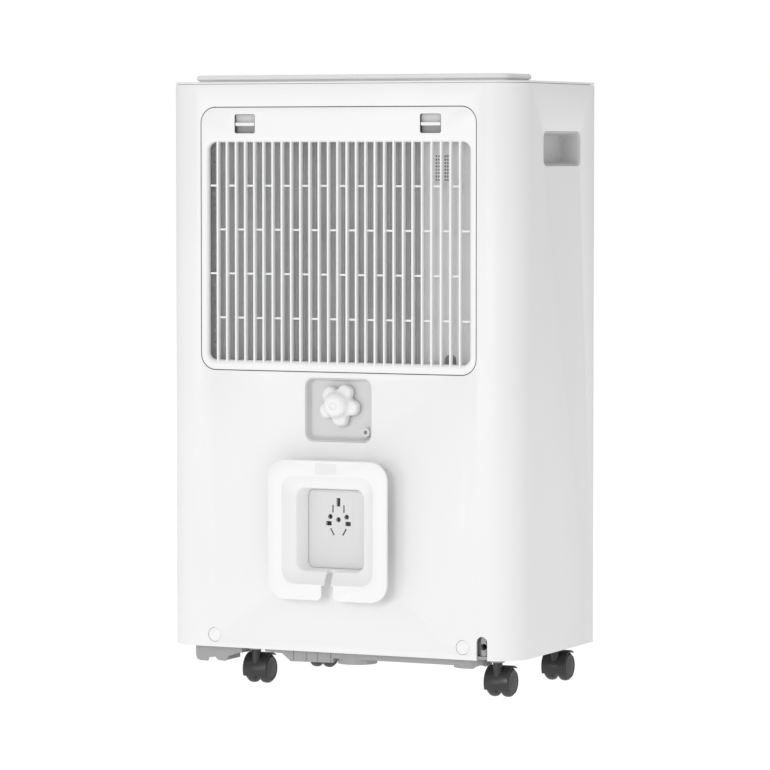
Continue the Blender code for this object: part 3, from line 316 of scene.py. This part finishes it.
FOAM = foam("float_foam", (0.8, 0.8, 0.78), 0.8, 600.0)


# ---------------------------------------------------------------- casing


def rear_outline(inset, front, steps=26):
    radius = REAR_CORNER - inset
    x, y = HALF_WIDTH - REAR_CORNER, REAR_Y - REAR_CORNER
    right, left = arc((x, y), radius, 0.0, 90.0, steps), arc((-x, y), radius, 90.0, 180.0, steps)
    return [(HALF_WIDTH - inset, front), *right, *left, (-HALF_WIDTH + inset, front)]


def front_outline(inset, back, steps=22):
    radius = FRONT_CORNER - inset
    x, y = FRONT_HALF - FRONT_CORNER, FRONT_Y + FRONT_CORNER
    left, right = arc((-x, y), radius, 180.0, 270.0, steps), arc((x, y), radius, 270.0, 360.0, steps)
    return [(-FRONT_HALF + inset, back), *left, *right, (FRONT_HALF - inset, back)]


def handle_ring(side, level, shrink, radius):
    outline = rounded((HANDLE_Y, HANDLE_Z), HANDLE_LONG - shrink, HANDLE_TALL - shrink, radius, 8)
    return [placed(p, side * (HALF_WIDTH - level), "X") for p in outline]


def make_rear_shell():
    outline = rear_outline(0.0, SIDE_EDGE_Y) + rear_outline(WALL, SIDE_EDGE_Y)[::-1]
    panel_z = (PANEL_LOW + PANEL_HIGH) / 2
    wide, tall = PANEL_HALF * 2, PANEL_HIGH - PANEL_LOW
    well = rounded((0.0, panel_z), wide + 7.0, tall + 7.0, PANEL_CORNER + 3.5)
    hole = rounded((0.0, panel_z), wide + 1.5, tall + 1.5, PANEL_CORNER + 0.75)
    ledge = rounded((0.0, panel_z), wide - 10.0, tall - 10.0, PANEL_CORNER - 5.0)
    pocket = rounded((DRAIN_X, POCKET_Z), POCKET_WIDE, POCKET_TALL, 8.6)
    park = rounded((0.0, REEL_Z), PARK_WIDE + 0.7, PARK_TALL + 0.7, 7.2)
    notch = [(-172.0, 30.0), (-160.0, 30.0), *arc((-166.0, 59.0), 6.0, 0.0, 180.0, 16)]
    outlines = ((hole, 99.0), (ledge, 90.0), (pocket, 95.0), (park, 95.0), (notch, 95.0))
    cuts = [extrude(shape, low, 100.0 if shape is ledge else REAR_Y + 2.0, "Y") for shape, low in outlines]
    for side in (-1, 1):
        cuts.append(cylinder(7.7, (side * 144.3, 52.8), 95.0, REAR_Y + 2.0, "Y", 40))
        cuts.append(loft([handle_ring(side, -2.0, -0.6, 7.3), handle_ring(side, 8.0, -0.6, 7.3)]))
    rim = extrude(well, 97.0, REAR_Y - 1.0, "Y")
    shape = extrude(outline, SHELL_BOTTOM, SEAM_Z, "Z")
    piece("casing_rear", "root", WHITE, [shape], cuts, [rim], ["rear_shell"], 0.45)


def make_front_cover():
    outline = front_outline(0.0, -92.0) + front_outline(WALL, -92.0)[::-1]
    window = rounded((0.0, 155.0), 330.0, 218.0, 6.0)
    shape = extrude(outline, SHELL_BOTTOM, SEAM_Z, "Z")
    cuts = [extrude(window, FRONT_Y - 5.0, FRONT_Y + 8.0, "Y")]
    piece("casing_front", "root", WHITE, [shape], cuts, (), ["front_cover"], 0.45)


def make_top_cover():
    def edge(level, inset):
        outline = rear_outline(inset, SIDE_EDGE_Y) + front_outline(inset, SIDE_EDGE_Y)
        return [placed(p, level, "Z") for p in outline]

    rings = [edge(SEAM_Z + 0.6, 0.15), edge(SEAM_Z + 0.8, 0.0), edge(DECK_Z - 0.9, 0.0), edge(DECK_Z - 0.35, 0.25)]
    rings.append(edge(DECK_Z, 0.9))
    inner = [placed(p, SEAM_Z + 0.9, "Z") for p in rear_outline(3.1, -91.4) + front_outline(3.1, -91.4)]
    rim = [[(x, y, level) for x, y, _ in inner] for level in (631.0, SEAM_Z + 1.2)]
    hollow = [(x, y) for x, y in rear_outline(5.1, -91.4) + front_outline(5.1, -91.4)]
    cuts = [
        extrude(hollow, 630.0, SEAM_Z + 0.4, "Z"),
        extrude(rounded((0.0, 45.0), 365.0, 73.0, 11.5), 630.0, 645.0, "Z"),
        extrude(rounded((0.0, -62.0), 208.0, 62.0, 8.0), 630.0, 645.0, "Z"),
    ]
    piece("casing_top", "root", WHITE, [loft(rings)], cuts, [loft(rim)], ["top_cover"], 0.0)


def make_handles():
    for side, word in ((1, "left"), (-1, "right")):
        rings = [
            (21.0, 11.5, 4.0), (22.0, 13.5, 3.4), (22.0, 9.6, 5.4), (21.0, 7.6, 6.0), (18.0, 6.5, 6.2),
            (3.4, 3.2, 6.2), (1.4, 2.5, 6.5), (0.6, 1.6, 6.8), (0.2, 0.5, 7.0), (0.5, 0.0, 7.0),
            (WALL + 0.3, 0.0, 7.0), (WALL + 0.3, -6.0, 9.0), (WALL + 2.3, -6.0, 9.0), (WALL + 2.3, 0.0, 7.0),
            (22.0, 3.0, 6.0), (24.0, 6.0, 5.0),
        ]
        floor_first = rings[1:]
        shape = loft([handle_ring(side, *ring) for ring in floor_first])
        piece(f"finger_recess_{word}", "root", GREY_CUP_AND_SHADE, [shape], nodes=[f"handle_cup_{word}"])
        cap = [(4.5, 101.0), (4.5, 105.0), (7.4, 105.9), (7.4, 107.1), (7.1, 107.5), (6.5, 107.75), (0.01, 107.8)]
        shape = turned(cap, (side * 144.3, 52.8), "Y")
        piece(f"screw_plug_{word}", "root", PANEL, [shape], nodes=[f"screw_cap_{word}"])


# ---------------------------------------------------------------- intake grille


def slat(x, low, high):
    half = SLAT_WIDTH / 2
    outline = [(x - half, 102.0), (x + half, 102.0), (x + half, 106.7), (x + half - 0.25, 107.15)]
    outline += [(x + half - 0.7, 107.3), (x - half + 0.7, 107.3), (x - half + 0.25, 107.15), (x - half, 106.7)]
    return extrude(outline, low, high, "Z")


def bridge(x, z, half):
    outline = [(102.0, z), (102.0, z + 2.2), (102.9, z + 2.2), (103.15, z + 1.95), (103.2, z + 1.6)]
    outline += [(103.2, z + 0.6), (103.15, z + 0.25), (102.9, z)]
    return extrude(outline, x - half, x + half, "X")


def tube(outer, inner, low, high, axis="Y"):
    """Ring between two outlines of as many points each."""
    levels = ((outer, low), (outer, high), (inner, high), (inner, low))
    return loft([[placed(p, level, axis) for p in outline] for outline, level in levels], True)


def make_intake_grille():
    centre = (0.0, (PANEL_LOW + PANEL_HIGH) / 2)
    tall = PANEL_HIGH - PANEL_LOW
    levels = ((105.5, 0.25), (107.5, 0.25), (107.85, 0.4), (108.0, 0.75))
    rings = []
    for level, inset in levels:
        rings.append(section(level, PANEL_HALF * 2 - inset * 2, tall - inset * 2, PANEL_CORNER - inset, centre))
    middle, opening_tall = (0.0, (GRILLE_LOW + GRILLE_HIGH) / 2), GRILLE_HIGH - GRILLE_LOW
    rim = tube(
        rounded(centre, PANEL_HALF * 2 - 1.0, tall - 1.0, PANEL_CORNER - 0.5),
        rounded(centre, PANEL_HALF * 2 - 5.0, tall - 5.0, PANEL_CORNER - 2.5), 101.4, 106.0,
    )
    surround = extrude(rounded(middle, GRILLE_HALF * 2 + 6.4, opening_tall + 6.4, 11.0), 102.0, 106.0, "Y")
    opening = [section(98.0, GRILLE_HALF * 2, opening_tall, 8.0, middle)]
    for step in range(11):
        turn = math.radians(9.0 * step)
        spread, depth = GRILLE_LIP * (1.0 - math.cos(turn)), GRILLE_LIP * (1.0 - math.sin(turn))
        size = (GRILLE_HALF * 2 + spread * 2, opening_tall + spread * 2)
        opening.append(section(REAR_Y - depth, *size, 8.0 + spread, middle))
    opening.append(section(109.0, GRILLE_HALF * 2 + 10.4, opening_tall + 10.4, 13.2, middle))
    cuts = [loft(opening)]
    for side in (-1, 1):
        window = (side * LATCH_X, LATCH_Z)
        cuts.append(loft([
            section(98.0, 23.4, 19.6, 2.0, window),
            section(107.5, 23.4, 19.6, 2.0, window),
            section(108.2, 24.6, 20.8, 2.6, window),
        ]))
    joined = [rim, surround]
    panel = piece("intake_panel", "intake_grille", PANEL, [loft(rings)], cuts, joined)
    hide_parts("intake_grille")
    pitch = GRILLE_HALF * 2 / SLAT_GAPS
    bars = [slat(GRILLE_HALF - i * pitch, GRILLE_LOW - 2.9, GRILLE_HIGH + 2.9) for i in range(1, SLAT_GAPS)]
    for row, z in enumerate(BRIDGE_ROWS):
        for i in range(row % 2, SLAT_GAPS, 2):
            bars.append(bridge(GRILLE_HALF - (i + 0.5) * pitch, z, pitch / 2 - SLAT_WIDTH / 2 + 0.3))
    piece("intake_slats", "intake_grille", PANEL, bars)
    for side in (-1, 1):
        plaque = rounded((side * (LATCH_X - 21.0), LATCH_Z), 14.0, 18.0, 1.0, 4)
        shape = extrude(plaque, 107.9, 107.99, "Y")
        piece(f"panel_plaque_{1 if side > 0 else 2}", "intake_grille", PLAQUE, [shape])
        window = (side * LATCH_X, LATCH_Z)
        # Painted shade: a thin dark skin on the walls of each catch window stands in for the shade inside it.
        shape = tube(rounded(window, 24.0, 20.2, 2.3), rounded(window, 23.2, 19.4, 1.9), 105.3, 107.75)
        piece(f"window_painted_shade_{1 if side > 0 else 2}", "intake_grille", DARK, [shape])
    outer = rounded(centre, PANEL_HALF * 2, tall, PANEL_CORNER)
    inner = rounded(centre, PANEL_HALF * 2 - 0.6, tall - 0.6, PANEL_CORNER - 0.3)
    piece("panel_seam", "intake_grille", SEAM, [tube(outer, inner, 101.5, 107.3)])
    outer = rounded(centre, PANEL_HALF * 2 + 1.7, tall + 1.7, PANEL_CORNER + 0.85)
    inner = rounded(centre, PANEL_HALF * 2 + 1.0, tall + 1.0, PANEL_CORNER + 0.5)
    piece("shell_seam", "root", SEAM, [tube(outer, inner, 99.5, 107.3)])


def make_air_filter():
    """Moulded frame with a middle bar, and a net of fine threads in its two windows."""
    def ring(centre, wide, tall, radius, bar):
        rings = [
            section(99.4, wide, tall, radius, centre), section(101.1, wide, tall, radius, centre),
            section(101.1, wide - bar * 2, tall - bar * 2, radius - 2.0, centre),
            section(99.4, wide - bar * 2, tall - bar * 2, radius - 2.0, centre),
        ]
        return loft(rings, True)

    shapes = [ring((0.0, 459.0), 312.0, 241.0, 10.0, 4.0)]
    shapes.append(box((-1.5, 1.5), (99.5, 101.0), (341.0, 577.0)))
    piece("filter_frame", "intake_grille", NET, shapes, nodes=["air_filter"])
    across = [-152.4 + NET_PITCH * i for i in range(255)]
    up = [342.0 + NET_PITCH * i for i in range(196)]
    threads = [box((x - THREAD_HALF, x + THREAD_HALF), (99.75, 99.95), (341.0, 577.0)) for x in across]
    threads += [box((-153.0, 153.0), (99.8, 100.0), (z - THREAD_HALF, z + THREAD_HALF)) for z in up]
    piece("filter_threads", "intake_grille", NET, threads)


def make_latches():
    for side, word in ((1, "left"), (-1, "right")):
        x = side * LATCH_X
        plate = box((x - 14.0, x + 14.0), (102.2, 103.4), (591.8, 608.6))
        ramp = [(102.6, 608.0), (104.4, 606.0), (104.9, 603.0), (104.3, 599.0), (103.4, 595.5), (102.6, 594.0)]
        bar = [(103.0, 592.3), (103.0, 595.9), (106.9, 595.9), (107.3, 595.6), (107.5, 595.2)]
        bar += [(107.5, 593.0), (107.3, 592.6), (106.9, 592.3)]
        bar = extrude(bar, x - 11.1, x + 11.1, "X")
        piece(f"catch_{word}", f"latch_{word}", PANEL, [bar], nodes=[f"latch_{word}"], bevel=0.15)
        # Painted shade: the catch's plate and ramp take a darker grey than its white bar, for the shade they lie in.
        shapes = [plate, extrude(ramp, x - 13.0, x + 13.0, "X")]
        piece(f"catch_plate_painted_shade_{word}", f"latch_{word}", GREY_CUP_AND_SHADE, shapes, bevel=0.15)
        guide = box((x - 12.5, x + 12.5), (101.3, 101.9), (583.5, 592.5))
        piece(f"catch_guide_{word}", "intake_grille", GREY, [guide])


# ---------------------------------------------------------------- drain


def make_drain_pocket():
    def ring(level, shrink, radius, lift=0.0):
        size = (POCKET_WIDE - shrink, POCKET_TALL - shrink)
        return section(level, *size, radius, (DRAIN_X, POCKET_Z + lift), steps=12)

    rings = [
        ring(98.0, 12.5, 3.5, 1.2), ring(98.1, 9.4, 4.9, 1.2), ring(98.6, 7.6, 5.8, 1.1), ring(99.6, 6.2, 6.5, 0.9),
        ring(101.0, 5.3, 6.9, 0.7), ring(105.6, 3.4, 7.0, 0.1), ring(106.6, 3.0, 7.1), ring(107.3, 2.6, 7.2),
        ring(107.7, 1.9, 7.4), ring(107.7, 0.7, 8.0), ring(105.1, 0.7, 8.0), ring(105.1, -5.0, 11.0),
        ring(103.1, -5.0, 11.0), ring(103.1, 0.7, 8.0), ring(96.0, 3.0, 8.0, 1.2),
    ]
    boss = turned([(5.0, 97.0), (5.0, 104.9), (4.7, 105.35), (4.1, 105.5), (2.9, 105.5), (2.3, 105.2), (2.0, 104.6),
                   (2.0, 99.5)], (-31.8, 272.5), "Y", 32)
    obj = piece(
        "drain_recess", "root", POCKET, [loft(rings)],
        [
            cylinder(8.6, (DRAIN_X, DRAIN_Z), 90.0, 102.0, "Y", 40),
            cylinder(2.0, (-31.8, 272.5), 97.5, 110.0, "Y", 20),
        ],
        nodes=["drain_pocket"],
    )
    piece("drain_eyelet", "root", POCKET, [boss])
    return obj


def star(tip, valley, level, steps=120):
    ring = []
    for i in range(steps):
        turn = 360.0 * i / steps
        wave = (1.0 + math.cos(math.radians(5 * turn))) / 2.0
        radius = tip - (tip - valley) * (1.0 - wave) ** 2
        angle = math.radians(turn + 61.0)
        ring.append((DRAIN_X - radius * math.cos(angle), level, DRAIN_Z + radius * math.sin(angle)))
    return ring


def make_star_knob():
    profile = (
        (101.0, 21.8, 15.6), (101.3, 22.5, 15.9), (102.0, 22.9, 16.2), (103.5, 23.0, 16.2), (105.5, 22.8, 16.1),
        (107.4, 22.5, 15.9), (108.6, 22.0, 15.6), (109.5, 21.2, 15.3), (110.2, 20.0, 15.0), (110.8, 18.4, 14.6),
        (111.5, 16.6, 14.2), (112.4, 15.0, 13.8), (113.6, 13.9, 13.4), (115.2, 13.2, 13.0), (117.0, 12.5, 12.4),
        (118.6, 11.5, 11.5), (119.8, 10.4, 10.4), (120.8, 9.0, 9.0), (121.6, 7.2, 7.2), (122.0, 5.8, 5.8),
        (122.0, 5.1, 5.1), (121.5, 4.4, 4.4), (120.7, 3.9, 3.9), (120.4, 3.3, 3.3), (120.9, 2.6, 2.6),
        (121.6, 1.9, 1.9), (121.8, 0.8, 0.8),
    )
    rings = [star(tip, valley, level) for level, tip, valley in profile]
    hollow = cylinder(8.7, (DRAIN_X, DRAIN_Z), 99.0, 106.7, "Y", 40)
    nodes = ["drain_cap"]
    piece("star_knob", "drain_cap", PANEL, [loft(rings)], [hollow], nodes=nodes, angle=50.0)
    seal = []
    for i in range(12):
        turn = math.tau * i / 12
        seal.append((6.45 + 1.85 * math.cos(turn), 105.3 + 1.0 * math.sin(turn)))
    shape = turned(seal, (DRAIN_X, DRAIN_Z), "Y", 40, True)
    piece("seal_ring", "drain_seal", RUBBER_AND_PAINTED_SHADE, [shape], nodes=["drain_seal"])


# ---------------------------------------------------------------- cord reel


def make_cord_reel():
    def ring(level, wide, tall, radius):
        return section(level, wide, tall, radius, (0.0, REEL_Z), steps=16)

    wide, tall = REEL_WIDE, REEL_TALL
    rings = [
        ring(129.0, wide - 0.8, tall - 0.8, 19.6), ring(129.4, wide, tall, 20.0), ring(131.0, wide, tall, 20.0),
        ring(131.6, wide - 0.5, tall - 0.5, 19.75), ring(132.0, wide - 2.0, tall - 2.0, 19.0),
        ring(132.0, 106.4, 114.4, 14.7), ring(131.8, 105.3, 113.3, 14.3), ring(131.0, 104.4, 112.4, 14.0),
        ring(124.9, 80.2, 89.2, 10.6), ring(124.2, 78.6, 87.6, 10.0), ring(123.4, 77.6, 86.6, 9.6),
        ring(112.0, 67.6, 84.6, 7.6), ring(109.2, 66.2, 83.2, 7.0), ring(108.4, 65.9, 82.9, 7.0),
        ring(108.3, 70.3, 87.3, 9.0), ring(122.5, 84.0, 93.0, 12.0), ring(129.0, 110.0, 118.0, 16.0),
    ]
    low = REEL_Z - tall / 2
    mouth = [(-7.0, low + 16.0), *arc((-13.0, low + 6.0), 6.0, 0.0, -60.0, 8)]
    mouth += [(-12.0, low - 2.0), (12.0, low - 2.0)]
    mouth += [*arc((13.0, low + 6.0), 6.0, -120.0, -180.0, 8), (7.0, low + 16.0)]
    cuts = [
        extrude(mouth, 127.0, 134.0, "Y"),
        box((-4.0, 4.0), (115.0, 134.0), (low + 10.0, low + 33.0)),
        extrude(rounded((1.5, REEL_Z + 64.5), 25.0, 11.6, 1.2, 4), 131.75, 134.0, "Y"),
    ]
    nodes = ["cord_reel"]
    piece("reel", "root", REEL, [loft(rings, True)], cuts, nodes=nodes, bevel=0.25, angle=40.0)


def park_holes():
    holes = [rectangle((side * 11.1 - 3.2, 174.0), (side * 11.1 + 3.2, 178.6)) for side in (-1, 1)]
    holes += [circle((side * 9.5, 183.4), 2.7, 24) for side in (-1, 1)]
    holes += [rectangle((side * 6.35 - 0.85, 187.8), (side * 6.35 + 0.85, 195.7)) for side in (-1, 1)]
    holes += [rectangle((-2.2, 194.2), (2.2, 203.2)), circle((0.0, 180.4), 2.7, 24)]
    for side in (-1, 1):
        tilt = math.radians(90.0 + side * 30.0)
        slot = []
        for along, across in ((-4.1, -0.85), (4.1, -0.85), (4.1, 0.85), (-4.1, 0.85)):
            x = side * 7.0 - along * math.cos(tilt) - across * math.sin(tilt)
            slot.append((x, 167.5 + along * math.sin(tilt) - across * math.cos(tilt)))
        holes.append(slot)
    return [[(x + SOCKET_X, z) for x, z in hole] for hole in holes]


def make_plug_park():
    def ring(level, wide, tall, radius):
        return section(level, wide, tall, radius, (0.0, REEL_Z))

    rings = [
        ring(102.7, PARK_WIDE + 6.0, PARK_TALL + 6.0, 9.0), ring(105.2, PARK_WIDE + 6.0, PARK_TALL + 6.0, 9.0),
        ring(105.2, PARK_WIDE, PARK_TALL, 6.8), ring(107.6, PARK_WIDE, PARK_TALL, 6.8),
        ring(107.75, PARK_WIDE - 0.5, PARK_TALL - 0.5, 6.6),
    ]
    plate = extrude(rounded((SOCKET_X, 183.8), 34.0, 46.0, 0.8, 3), 107.0, 107.95, "Y")
    cuts = [extrude(hole, 104.0, 110.0, "Y") for hole in park_holes()]
    nodes, slot = ["plug_park"], "light_grey_plastic"
    obj = piece("park_socket", "root", SOCKET, [loft(rings)], cuts, [plate], nodes)
    backing = box((-20.0, 20.0), (103.0, 104.2), (160.0, 208.0))
    piece("park_socket_inside", "root", BLACK, [backing], bevel=0.3)
    plaque = extrude(rounded((1.5, REEL_Z + 64.5), 24.0, 10.6, 1.0, 4), 131.7, 131.95, "Y")
    piece("reel_plaque", "root", PLAQUE, [plaque])
    return obj


# ---------------------------------------------------------------- base and castors


def make_castor(word, x, stem_y):
    y = stem_y - CASTOR_TRAIL
    axle, body = (y, WHEEL_RADIUS), f"castor_yoke_{word}"
    inner = HOOD_RADIUS - 1.2

    def across(outline_radius, start, end, level):
        return [placed(p, level, "X") for p in arc(axle, outline_radius, start, end, 36)]

    def hood_ring(level, radius):
        return across(radius, -25.0, 122.0, level) + across(inner, 122.0, -25.0, level)

    rings = []
    for level, drop in ((-HOOD_HALF, 0.9), (-HOOD_HALF + 0.35, 0.3), (-HOOD_HALF + 1.0, 0.0),
                        (HOOD_HALF - 1.0, 0.0), (HOOD_HALF - 0.35, 0.3), (HOOD_HALF, 0.9)):
        rings.append(hood_ring(x + level, HOOD_RADIUS - drop))
    web = arc(axle, inner + 0.6, -22.0, 118.0, 30) + arc(axle, 5.0, 150.0, 310.0, 16)
    stem = [(5.0, 20.0), (5.0, 36.3), (4.7, 36.6), (4.0, 36.7), (4.0, 49.6), (3.6, 50.0)]
    shapes = [
        loft(rings),
        extrude(web, x - 2.6, x + 2.6, "X"),
        turned(stem, (x, stem_y), "Z", 32),
        cylinder(2.0, axle, x - 11.0, x + 11.0, "X", 24),
    ]
    piece(f"hood_{word}", body, BLACK, shapes, nodes=[body], angle=30.0)
    profile = [
        (2.3, 11.5), (2.3, 3.1), (13.0, 3.1), (14.2, 3.6), (15.0, 4.6), (15.4, 6.2), (15.5, 7.6), (15.4, 9.2),
        (15.0, 10.5), (14.2, 11.5), (13.3, 12.1), (12.9, 12.7), (12.5, 13.2), (11.9, 13.3), (11.5, 12.9), (11.2, 12.8),
        (8.0, 13.3), (4.0, 13.7), (0.6, 13.8),
    ]
    for side, hand in ((1, "left"), (-1, "right")):
        node = f"castor_wheel_{word}_{hand}"
        shape = turned([(r, x + side * level) for r, level in profile], axle, "X", 64)
        piece(f"twin_{word}_{hand}", node, TREAD, [shape], nodes=[node])


def make_castors():
    for x, across in zip(CASTOR_X, ("left", "right")):
        for stem_y, along in zip(CASTOR_Y, ("rear", "front")):
            make_castor(f"{along}_{across}", x, stem_y)


# ---------------------------------------------------------------- outlet


def make_outlet():
    middle = (0.0, 45.0)
    profile = ((633.4, -4.0), (636.1, -4.0), (636.1, 2.6), (640.4, 2.6), (640.6, 1.4), (640.8, 0.6),
               (641.2, 0.15), (642.2, 0.0), (643.6, 0.0),
               (644.7, 0.3), (645.4, 0.9), (645.85, 1.7), (646.0, 2.6))
    rings = []
    for level, inset in profile:
        outline = rounded(middle, 364.0 - inset * 2, 72.0 - inset * 2, 11.0 - inset)
        rings.append([placed(p, level, "Z") for p in outline])
    hole = rounded((0.0, 45.5), 343.0, 55.0, 1.0, 4)
    ledge = rounded((0.0, 45.5), 337.0, 50.0, 2.0, 4)
    collar = rounded((0.0, 45.5), 346.0, 58.0, 4.5, 6)
    cuts = [
        extrude(hole, 642.0, 650.0, "Z"),
        extrude(ledge, 620.0, 650.0, "Z"),
        cylinder(1.5, (71.4, 643.6), -175.0, 175.0, "X", 16),
    ]
    joined = [extrude(collar, 629.0, 634.0, "Z")]
    nodes = ["outlet_frame"]
    piece("outlet_surround", "root", PANEL, [loft(rings)], cuts, joined, nodes, 0.2, 40.0)
    flap = [(18.9, 642.6), (71.4, 642.3), *arc((71.4, 643.6), 1.3, -60.0, 90.0, 10), (60.0, 645.2), (19.4, 645.2)]
    flap += [(18.75, 645.0), (18.6, 644.6), (18.6, 643.0)]
    shapes = [extrude(flap, -170.5, 170.5, "X"), cylinder(1.1, (71.4, 643.6), -174.0, 174.0, "X", 16)]
    piece("outlet_flap", "louver", PANEL, shapes, nodes=["louver"])


# ---------------------------------------------------------------- inside


def make_coils():
    """Thin fins on copper tubes, between galvanised end plates, and dark patches behind and in the breathing holes
    that paint their shade.
    """
    # Painted shade: a dark sheet behind the breathing holes and a dark patch in each hole stand in for the shade
    # inside them.
    vent_shade = [box((-126.0, -100.0), (88.9, 89.9), (531.0, 567.0))]
    for x in VENT_COLUMNS:
        for low in [VENT_LOW + VENT_PITCH * row for row in range(VENT_ROWS)]:
            vent_shade.append(box((x - 0.95, x + 0.95), (91.6, 92.06), (low, low + 2.1)))
    piece("vent_hole_painted_shade", "root", RUBBER_AND_PAINTED_SHADE, vent_shade)
    for name, low, high in (("evaporator_coil", 62.0, 86.0), ("condenser_coil", 28.5, 57.5)):
        fins = [box((x - 0.12, x + 0.12), (low, high), (COIL_LOW, COIL_HIGH)) for x in
                [COIL_LEFT + 2.0 + 1.9 * i for i in range(129)]]
        piece(f"{name}_fins", "root", FINS, fins, nodes=[name])
        plates = []
        for x in (COIL_LEFT, COIL_RIGHT):
            plates.append(box((x - 0.8, x + 0.8), (low - 2.0, high + 2.0), (COIL_LOW - 1.5, COIL_HIGH + 1.5)))
        piece(f"{name}_plates", "root", STEEL, plates, bevel=0.2)
        middle = (low + high) / 2
        tubes = []
        for i in range(5):
            z = COIL_LOW + 30.0 + 48.0 * i
            rings = []
            for step in range(17):
                turn = math.radians(-90.0 + 180.0 * step / 16)
                out, up = math.cos(turn), math.sin(turn)
                centre = (COIL_LEFT + 0.2 - 8.0 * out, z + 8.0 * up)
                ring = []
                for a, b in circle((0.0, 0.0), 3.6, 14):
                    ring.append((centre[0] - a * out, middle + b, centre[1] + a * up))
                rings.append(ring)
            tubes.append(loft(rings))
            for side in (-1, 1):
                tubes.append(cylinder(3.6, (middle, z + side * 8.0), COIL_LEFT + 0.2, COIL_RIGHT + 0.6, "X", 14))
        piece(f"{name}_tubes", "root", COPPER, tubes)


KEPT = {
    "base_pan": GREY, "outlet_grille": LIGHT_GREY, "drain_nozzle": LIGHT_GREY, "cord_gland": GREY,
    "sensor_panel": SENSOR, "fan_scroll": GREY, "fan_motor": STEEL, "compressor": PAINT,
    "discharge_pipe": COPPER, "suction_pipe": LAGGING, "capillary_tube": COPPER, "drip_tray": GREY,
    "control_box": LIGHT_GREY, "tank_switch": BLACK, "bulkhead": STEEL, "control_panel": PANEL,
    "display_window": SMOKED, "fan_wheel": DARK, "water_tank": CLEAR, "tank_front": WHITE, "tank_lid": LIGHT_GREY,
    "tank_handle": LIGHT_GREY, "tank_float": FOAM, **{f"button_{i}": PANEL for i in range(1, 6)},
}


def dress_kept_nodes():
    """CAD nodes whose shape is right keep it, with welded, slightly rounded edges and a real material."""
    for name, material in KEPT.items():
        obj = NODES[name]
        obj.data.materials.clear()
        obj.data.materials.append(material)
        weld = obj.modifiers.new("weld", "WELD")
        weld.merge_threshold = 0.00001
        bevel = obj.modifiers.new("round", "BEVEL")
        bevel.width, bevel.segments = 0.0003, 2
        bevel.limit_method, bevel.angle_limit = "ANGLE", math.radians(40.0)
        bevel.harden_normals = False


# ---------------------------------------------------------------- stage


def make_stage():
    mesh = mesh_of("floor", [box((-9000.0, 9000.0), (-9000.0, 9000.0), (-20.0, 0.0))])
    floor = bpy.data.objects.new("floor", mesh)
    bpy.context.scene.collection.objects.link(floor)
    material = bpy.data.materials.new("pale_floor")
    material.use_nodes = True
    shader = material.node_tree.nodes["Principled BSDF"]
    shader.inputs["Base Color"].default_value = (0.06, 0.06, 0.06, 1.0)
    shader.inputs["Roughness"].default_value = 0.9
    shader.inputs["Specular IOR Level"].default_value = 0.0
    shader.inputs["Emission Color"].default_value = (1.0, 1.0, 1.0, 1.0)
    shader.inputs["Emission Strength"].default_value = 1.0
    floor.data.materials.append(material)


def area_light(name, place, target, size, power):
    data = bpy.data.lights.new(name, "AREA")
    data.energy, data.size = power, size
    light = bpy.data.objects.new(name, data)
    light.location = place
    light.rotation_euler = (Vector(target) - Vector(place)).to_track_quat("-Z", "Y").to_euler()
    light.visible_camera = False
    bpy.context.scene.collection.objects.link(light)


def make_lights():
    world = bpy.data.worlds.new("studio")
    world.use_nodes = True
    tree = world.node_tree
    output = tree.nodes["World Output"]
    seen, lit = tree.nodes["Background"], tree.nodes.new("ShaderNodeBackground")
    seen.inputs["Color"].default_value = (1.0, 1.0, 1.0, 1.0)
    seen.inputs["Strength"].default_value = 1.0
    lit.inputs["Color"].default_value = (1.0, 1.0, 1.0, 1.0)
    lit.inputs["Strength"].default_value = 0.655
    path, mix = tree.nodes.new("ShaderNodeLightPath"), tree.nodes.new("ShaderNodeMixShader")
    link(tree, path.outputs["Is Camera Ray"], mix.inputs[0])
    link(tree, lit.outputs[0], mix.inputs[1])
    link(tree, seen.outputs[0], mix.inputs[2])
    link(tree, mix.outputs[0], output.inputs["Surface"])
    bpy.context.scene.world = world
    area_light("key", (-0.25, 3.6, 0.9), (0.0, 0.0, 0.33), 1.0, 27.0)
    area_light("low_left", (1.1, 3.2, 0.05), (0.0, 0.1, 0.3), 0.5, 11.0)


def make_camera():
    data = bpy.data.cameras.new("camera")
    data.lens, data.sensor_width = 200.0, 36.0
    data.clip_end = 50.0
    camera = bpy.data.objects.new("camera", data)
    camera.location = (-1.9372, 4.1317, 0.5663)
    camera.rotation_euler = (math.radians(86.864), 0.0, math.radians(205.06))
    bpy.context.scene.collection.objects.link(camera)
    bpy.context.scene.camera = camera


def main():
    bpy.context.scene.view_settings.view_transform = "Standard"
    make_camera()
    make_rear_shell()
    make_front_cover()
    make_top_cover()
    make_handles()
    make_intake_grille()
    make_air_filter()
    make_latches()
    make_drain_pocket()
    make_star_knob()
    make_cord_reel()
    make_plug_park()
    make_castors()
    make_outlet()
    make_coils()
    dress_kept_nodes()
    make_stage()
    make_lights()


main()
